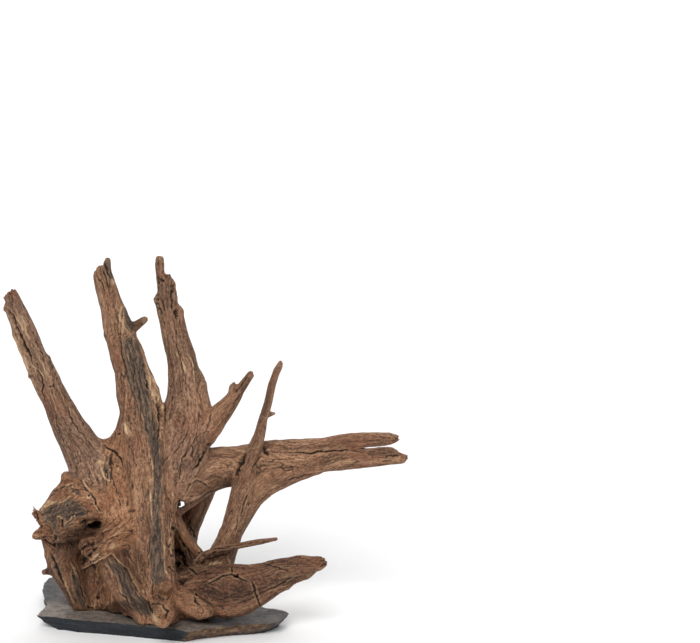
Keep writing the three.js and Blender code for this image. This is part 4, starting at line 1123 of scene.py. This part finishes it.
def taken(mesh, keep, name):
    """The part of a mesh whose corners are kept, with its stored fields."""
    totals = read(mesh.polygons, "loop_total", kind=np.int32)
    loops = read(mesh.loops, "vertex_index", kind=np.int32)
    chosen = keep[loops[read(mesh.polygons, "loop_start", kind=np.int32)]]
    chosen_loops = loops[np.repeat(chosen, totals)]
    part = bpy.data.meshes.new(name)
    part.vertices.add(int(keep.sum()))
    part.loops.add(len(chosen_loops))
    part.polygons.add(int(chosen.sum()))
    part.loops.foreach_set("vertex_index", (np.cumsum(keep) - 1)[chosen_loops].astype(np.int32))
    part.polygons.foreach_set("loop_start", np.append(0, np.cumsum(totals[chosen])[:-1]).astype(np.int32))
    part.vertices.foreach_set("co", (mesh_arrays(mesh)[0][keep] * MM).astype(np.float32).ravel())
    part.update(calc_edges=True)
    for field in mesh.attributes:
        width, slot = {"FLOAT": (1, "value"), "FLOAT_VECTOR": (3, "vector")}.get(field.data_type, (0, ""))
        if width and field.domain == "POINT" and field.name != "position":
            store(part, {field.name: read(field.data, slot, width)[keep]})
    return part


def close_part(part):
    """Closes a part again where it was cut, and gives it back its smooth shading."""
    bm = bmesh.new()
    bm.from_mesh(part)
    caps = bmesh.ops.holes_fill(bm, edges=[edge for edge in bm.edges if edge.is_boundary], sides=0)["faces"]
    bmesh.ops.triangulate(bm, faces=caps)
    bm.to_mesh(part)
    bm.free()
    smooth_faces(part)
    part.normals_split_custom_set_from_vertices(read(part.attributes["shading"].data, "vector", 3))
    part.attributes.remove(part.attributes["shading"])
    return part


def add_piece(name, mesh, material, slot, *nodes):
    mesh.materials.clear()
    mesh.materials.append(material)
    piece = bpy.data.objects.new(name, mesh)
    bpy.context.scene.collection.objects.link(piece)
    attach(piece, "root")
    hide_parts(*nodes)
    return piece


def build_wood():
    whole = remeshed("wood", [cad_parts[name] for name in WOOD_PIECES], KERF_CLOSING, WOOD_VOXEL)
    wood_surface(whole)
    material = wood_material()
    build_splinters(whole, material)
    cut_mesh(whole, FORKS)
    label = loose_parts(whole)
    corners, _ = mesh_arrays(whole)
    owners = {}
    for node, place in WOOD_PIECES.items():
        owners[node] = label[np.argmin(np.linalg.norm(corners - np.array(place), axis=1))]
    for node in list(WOOD_PIECES)[1:]:
        part = close_part(taken(whole, label == owners[node], node))
        add_piece(f"wood_{node}", part, material, "wood", node)
    stump = taken(whole, label == owners["stump"], "stump")
    cut_mesh(stump, [((0, 0, level), (0, 0, 1), WHOLE_WIDTH) for level in STUMP_LEVELS])
    heights = mesh_arrays(stump)[0][:, 2]
    label = loose_parts(stump)
    lowest, highest = np.full(len(label), np.inf), np.full(len(label), -np.inf)
    np.minimum.at(lowest, label, heights)
    np.maximum.at(highest, label, heights)
    middle = 0.5 * (lowest + highest)[label]
    levels = [-WHOLE_WIDTH, *STUMP_LEVELS, WHOLE_WIDTH]
    for name, low, high in zip(("foot", "lower", "middle", "upper"), levels[:-1], levels[1:]):
        part = close_part(taken(stump, (middle > low) & (middle < high), name))
        add_piece(f"wood_stump_{name}", part, material, "wood", "stump")


def build_slate():
    mesh = remeshed("slate", [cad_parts["slate_base"]], 0.0, SLATE_VOXEL)
    corners, edges = mesh_arrays(mesh)
    relaxer = Relaxer(len(corners), edges)
    corners = relaxer.relax(corners, 2)
    normals = mesh_normals(mesh, relaxer.relax(corners, 3))
    x, y, z = corners.T
    side = smooth_step(np.hypot(normals[:, 0], normals[:, 1]), 0.3, 0.6)
    top = smooth_step(normals[:, 2], 0.5, 0.95)
    layers = noise(corners / (22, 22, 1.3), 40) + 0.7 * noise(corners / (9, 9, 2.6), 41)
    chips = np.clip(noise(corners / (9, 9, 5), 42) - 0.15, 0, 1)
    outwards = normals * np.array([1, 1, 0])
    corners += outwards * (side * (0.55 * layers - 0.4 - 1.6 * chips))[:, None]
    sheets = smooth_step(noise(corners / 19, 43), 0.05, 0.12)
    sheets += 0.6 * smooth_step(noise(corners / 8, 44), 0.2, 0.26)
    corners[:, 2] += top * (0.22 * noise(corners / 12, 45) + 0.3 * sheets - 0.45)
    corners[:, 2] = np.where(z < 0.8, 0.0, np.clip(corners[:, 2], 0, SLATE_TOP + 0.05))
    set_corners(mesh, corners)
    front_right = smooth_step(x + 0.5 * y, -15.5, -12.5) * smooth_step(-y, 35, 50)
    # Pale top edges: chipped edges with a painted highlight
    rim = smooth_step(side * top, 0.02, 0.25) * smooth_step(noise(corners / 5, 47), -0.5, 0.3)
    # Painted light: the top gets a lighter colour towards the front, besides the patchy dust
    front = smooth_step(-y - 0.45 * x, 26, 38)
    dust_and_front_light = top * np.clip(0.4 * smooth_step(noise(corners / 30, 46), -0.9, 0.5) + front, 0, 1)
    store(mesh, {"side": side, "dust_and_front_light": dust_and_front_light, "rust": front_right * side, "rim": rim})
    smooth_faces(mesh)
    add_piece("slate_plate", mesh, slate_material(), "slate", "slate_base")


# Stage, in metres, and its lights: where each comes from, how soft it is and how bright
BACKDROP_START, BACKDROP_BEND, BACKDROP_REACH = 1.2, 0.9, 5.0
WORLD_LIGHT = 0.32
LIGHTS = [
    ("key", (-0.3, -1.2, 1.0), 32, 2.6),
    ("fill", (1.2, -1.0, 0.45), 40, 0.35),
    ("top", (0.2, 0.5, 1.2), 35, 0.8),
]


def build_stage():
    """A pale floor that rises into a backdrop, soft lights and the camera."""
    material = bpy.data.materials.new("pale_floor")
    material.use_nodes = True
    surface = material.node_tree.nodes["Principled BSDF"]
    surface.inputs["Base Color"].default_value = (0.9, 0.9, 0.9, 1)
    surface.inputs["Roughness"].default_value = 0.9
    profile = [(-BACKDROP_REACH, 0.0), (BACKDROP_START, 0.0)]
    for step in range(1, 13):
        turn = math.radians(7.5 * step)
        bend = (BACKDROP_START + BACKDROP_BEND * math.sin(turn), BACKDROP_BEND * (1 - math.cos(turn)))
        profile.append(bend)
    profile.append((profile[-1][0], BACKDROP_REACH))
    corners = [(side * BACKDROP_REACH, depth, height) for depth, height in profile for side in (-1, 1)]
    faces = [(2 * row, 2 * row + 1, 2 * row + 3, 2 * row + 2) for row in range(len(profile) - 1)]
    floor_mesh = bpy.data.meshes.new("floor")
    floor_mesh.from_pydata(corners, [], faces)
    smooth_faces(floor_mesh)
    floor_mesh.materials.append(material)
    floor = bpy.data.objects.new("floor", floor_mesh)
    bpy.context.scene.collection.objects.link(floor)

    world = bpy.data.worlds.new("studio")
    world.use_nodes = True
    world.node_tree.nodes["Background"].inputs["Color"].default_value = (1, 1, 1, 1)
    world.node_tree.nodes["Background"].inputs["Strength"].default_value = WORLD_LIGHT
    bpy.context.scene.world = world

    for name, direction, spread, power in LIGHTS:
        light = bpy.data.lights.new(name, "SUN")
        light.angle = math.radians(spread)
        light.energy = power
        lamp = bpy.data.objects.new(name, light)
        lamp.rotation_mode = "QUATERNION"
        lamp.rotation_quaternion = (-Vector(direction)).to_track_quat("-Z", "Y")
        bpy.context.scene.collection.objects.link(lamp)

    view = bpy.data.cameras.new("camera")
    view.sensor_width = SENSOR_WIDTH
    view.lens = FOCAL_PIXELS / PICTURE_WIDTH * SENSOR_WIDTH
    view.clip_start, view.clip_end = 0.05, 50
    camera = bpy.data.objects.new("camera", view)
    right, upward, forward = camera_axes()
    turn = Matrix((right, upward, -forward)).transposed().to_4x4()
    camera.matrix_world = Matrix.Translation(Vector(CAMERA_PLACE) * MM) @ turn
    bpy.context.scene.collection.objects.link(camera)
    bpy.context.scene.camera = camera
    bpy.context.scene.view_settings.view_transform = "Standard"


build_wood()
build_slate()
build_stage()
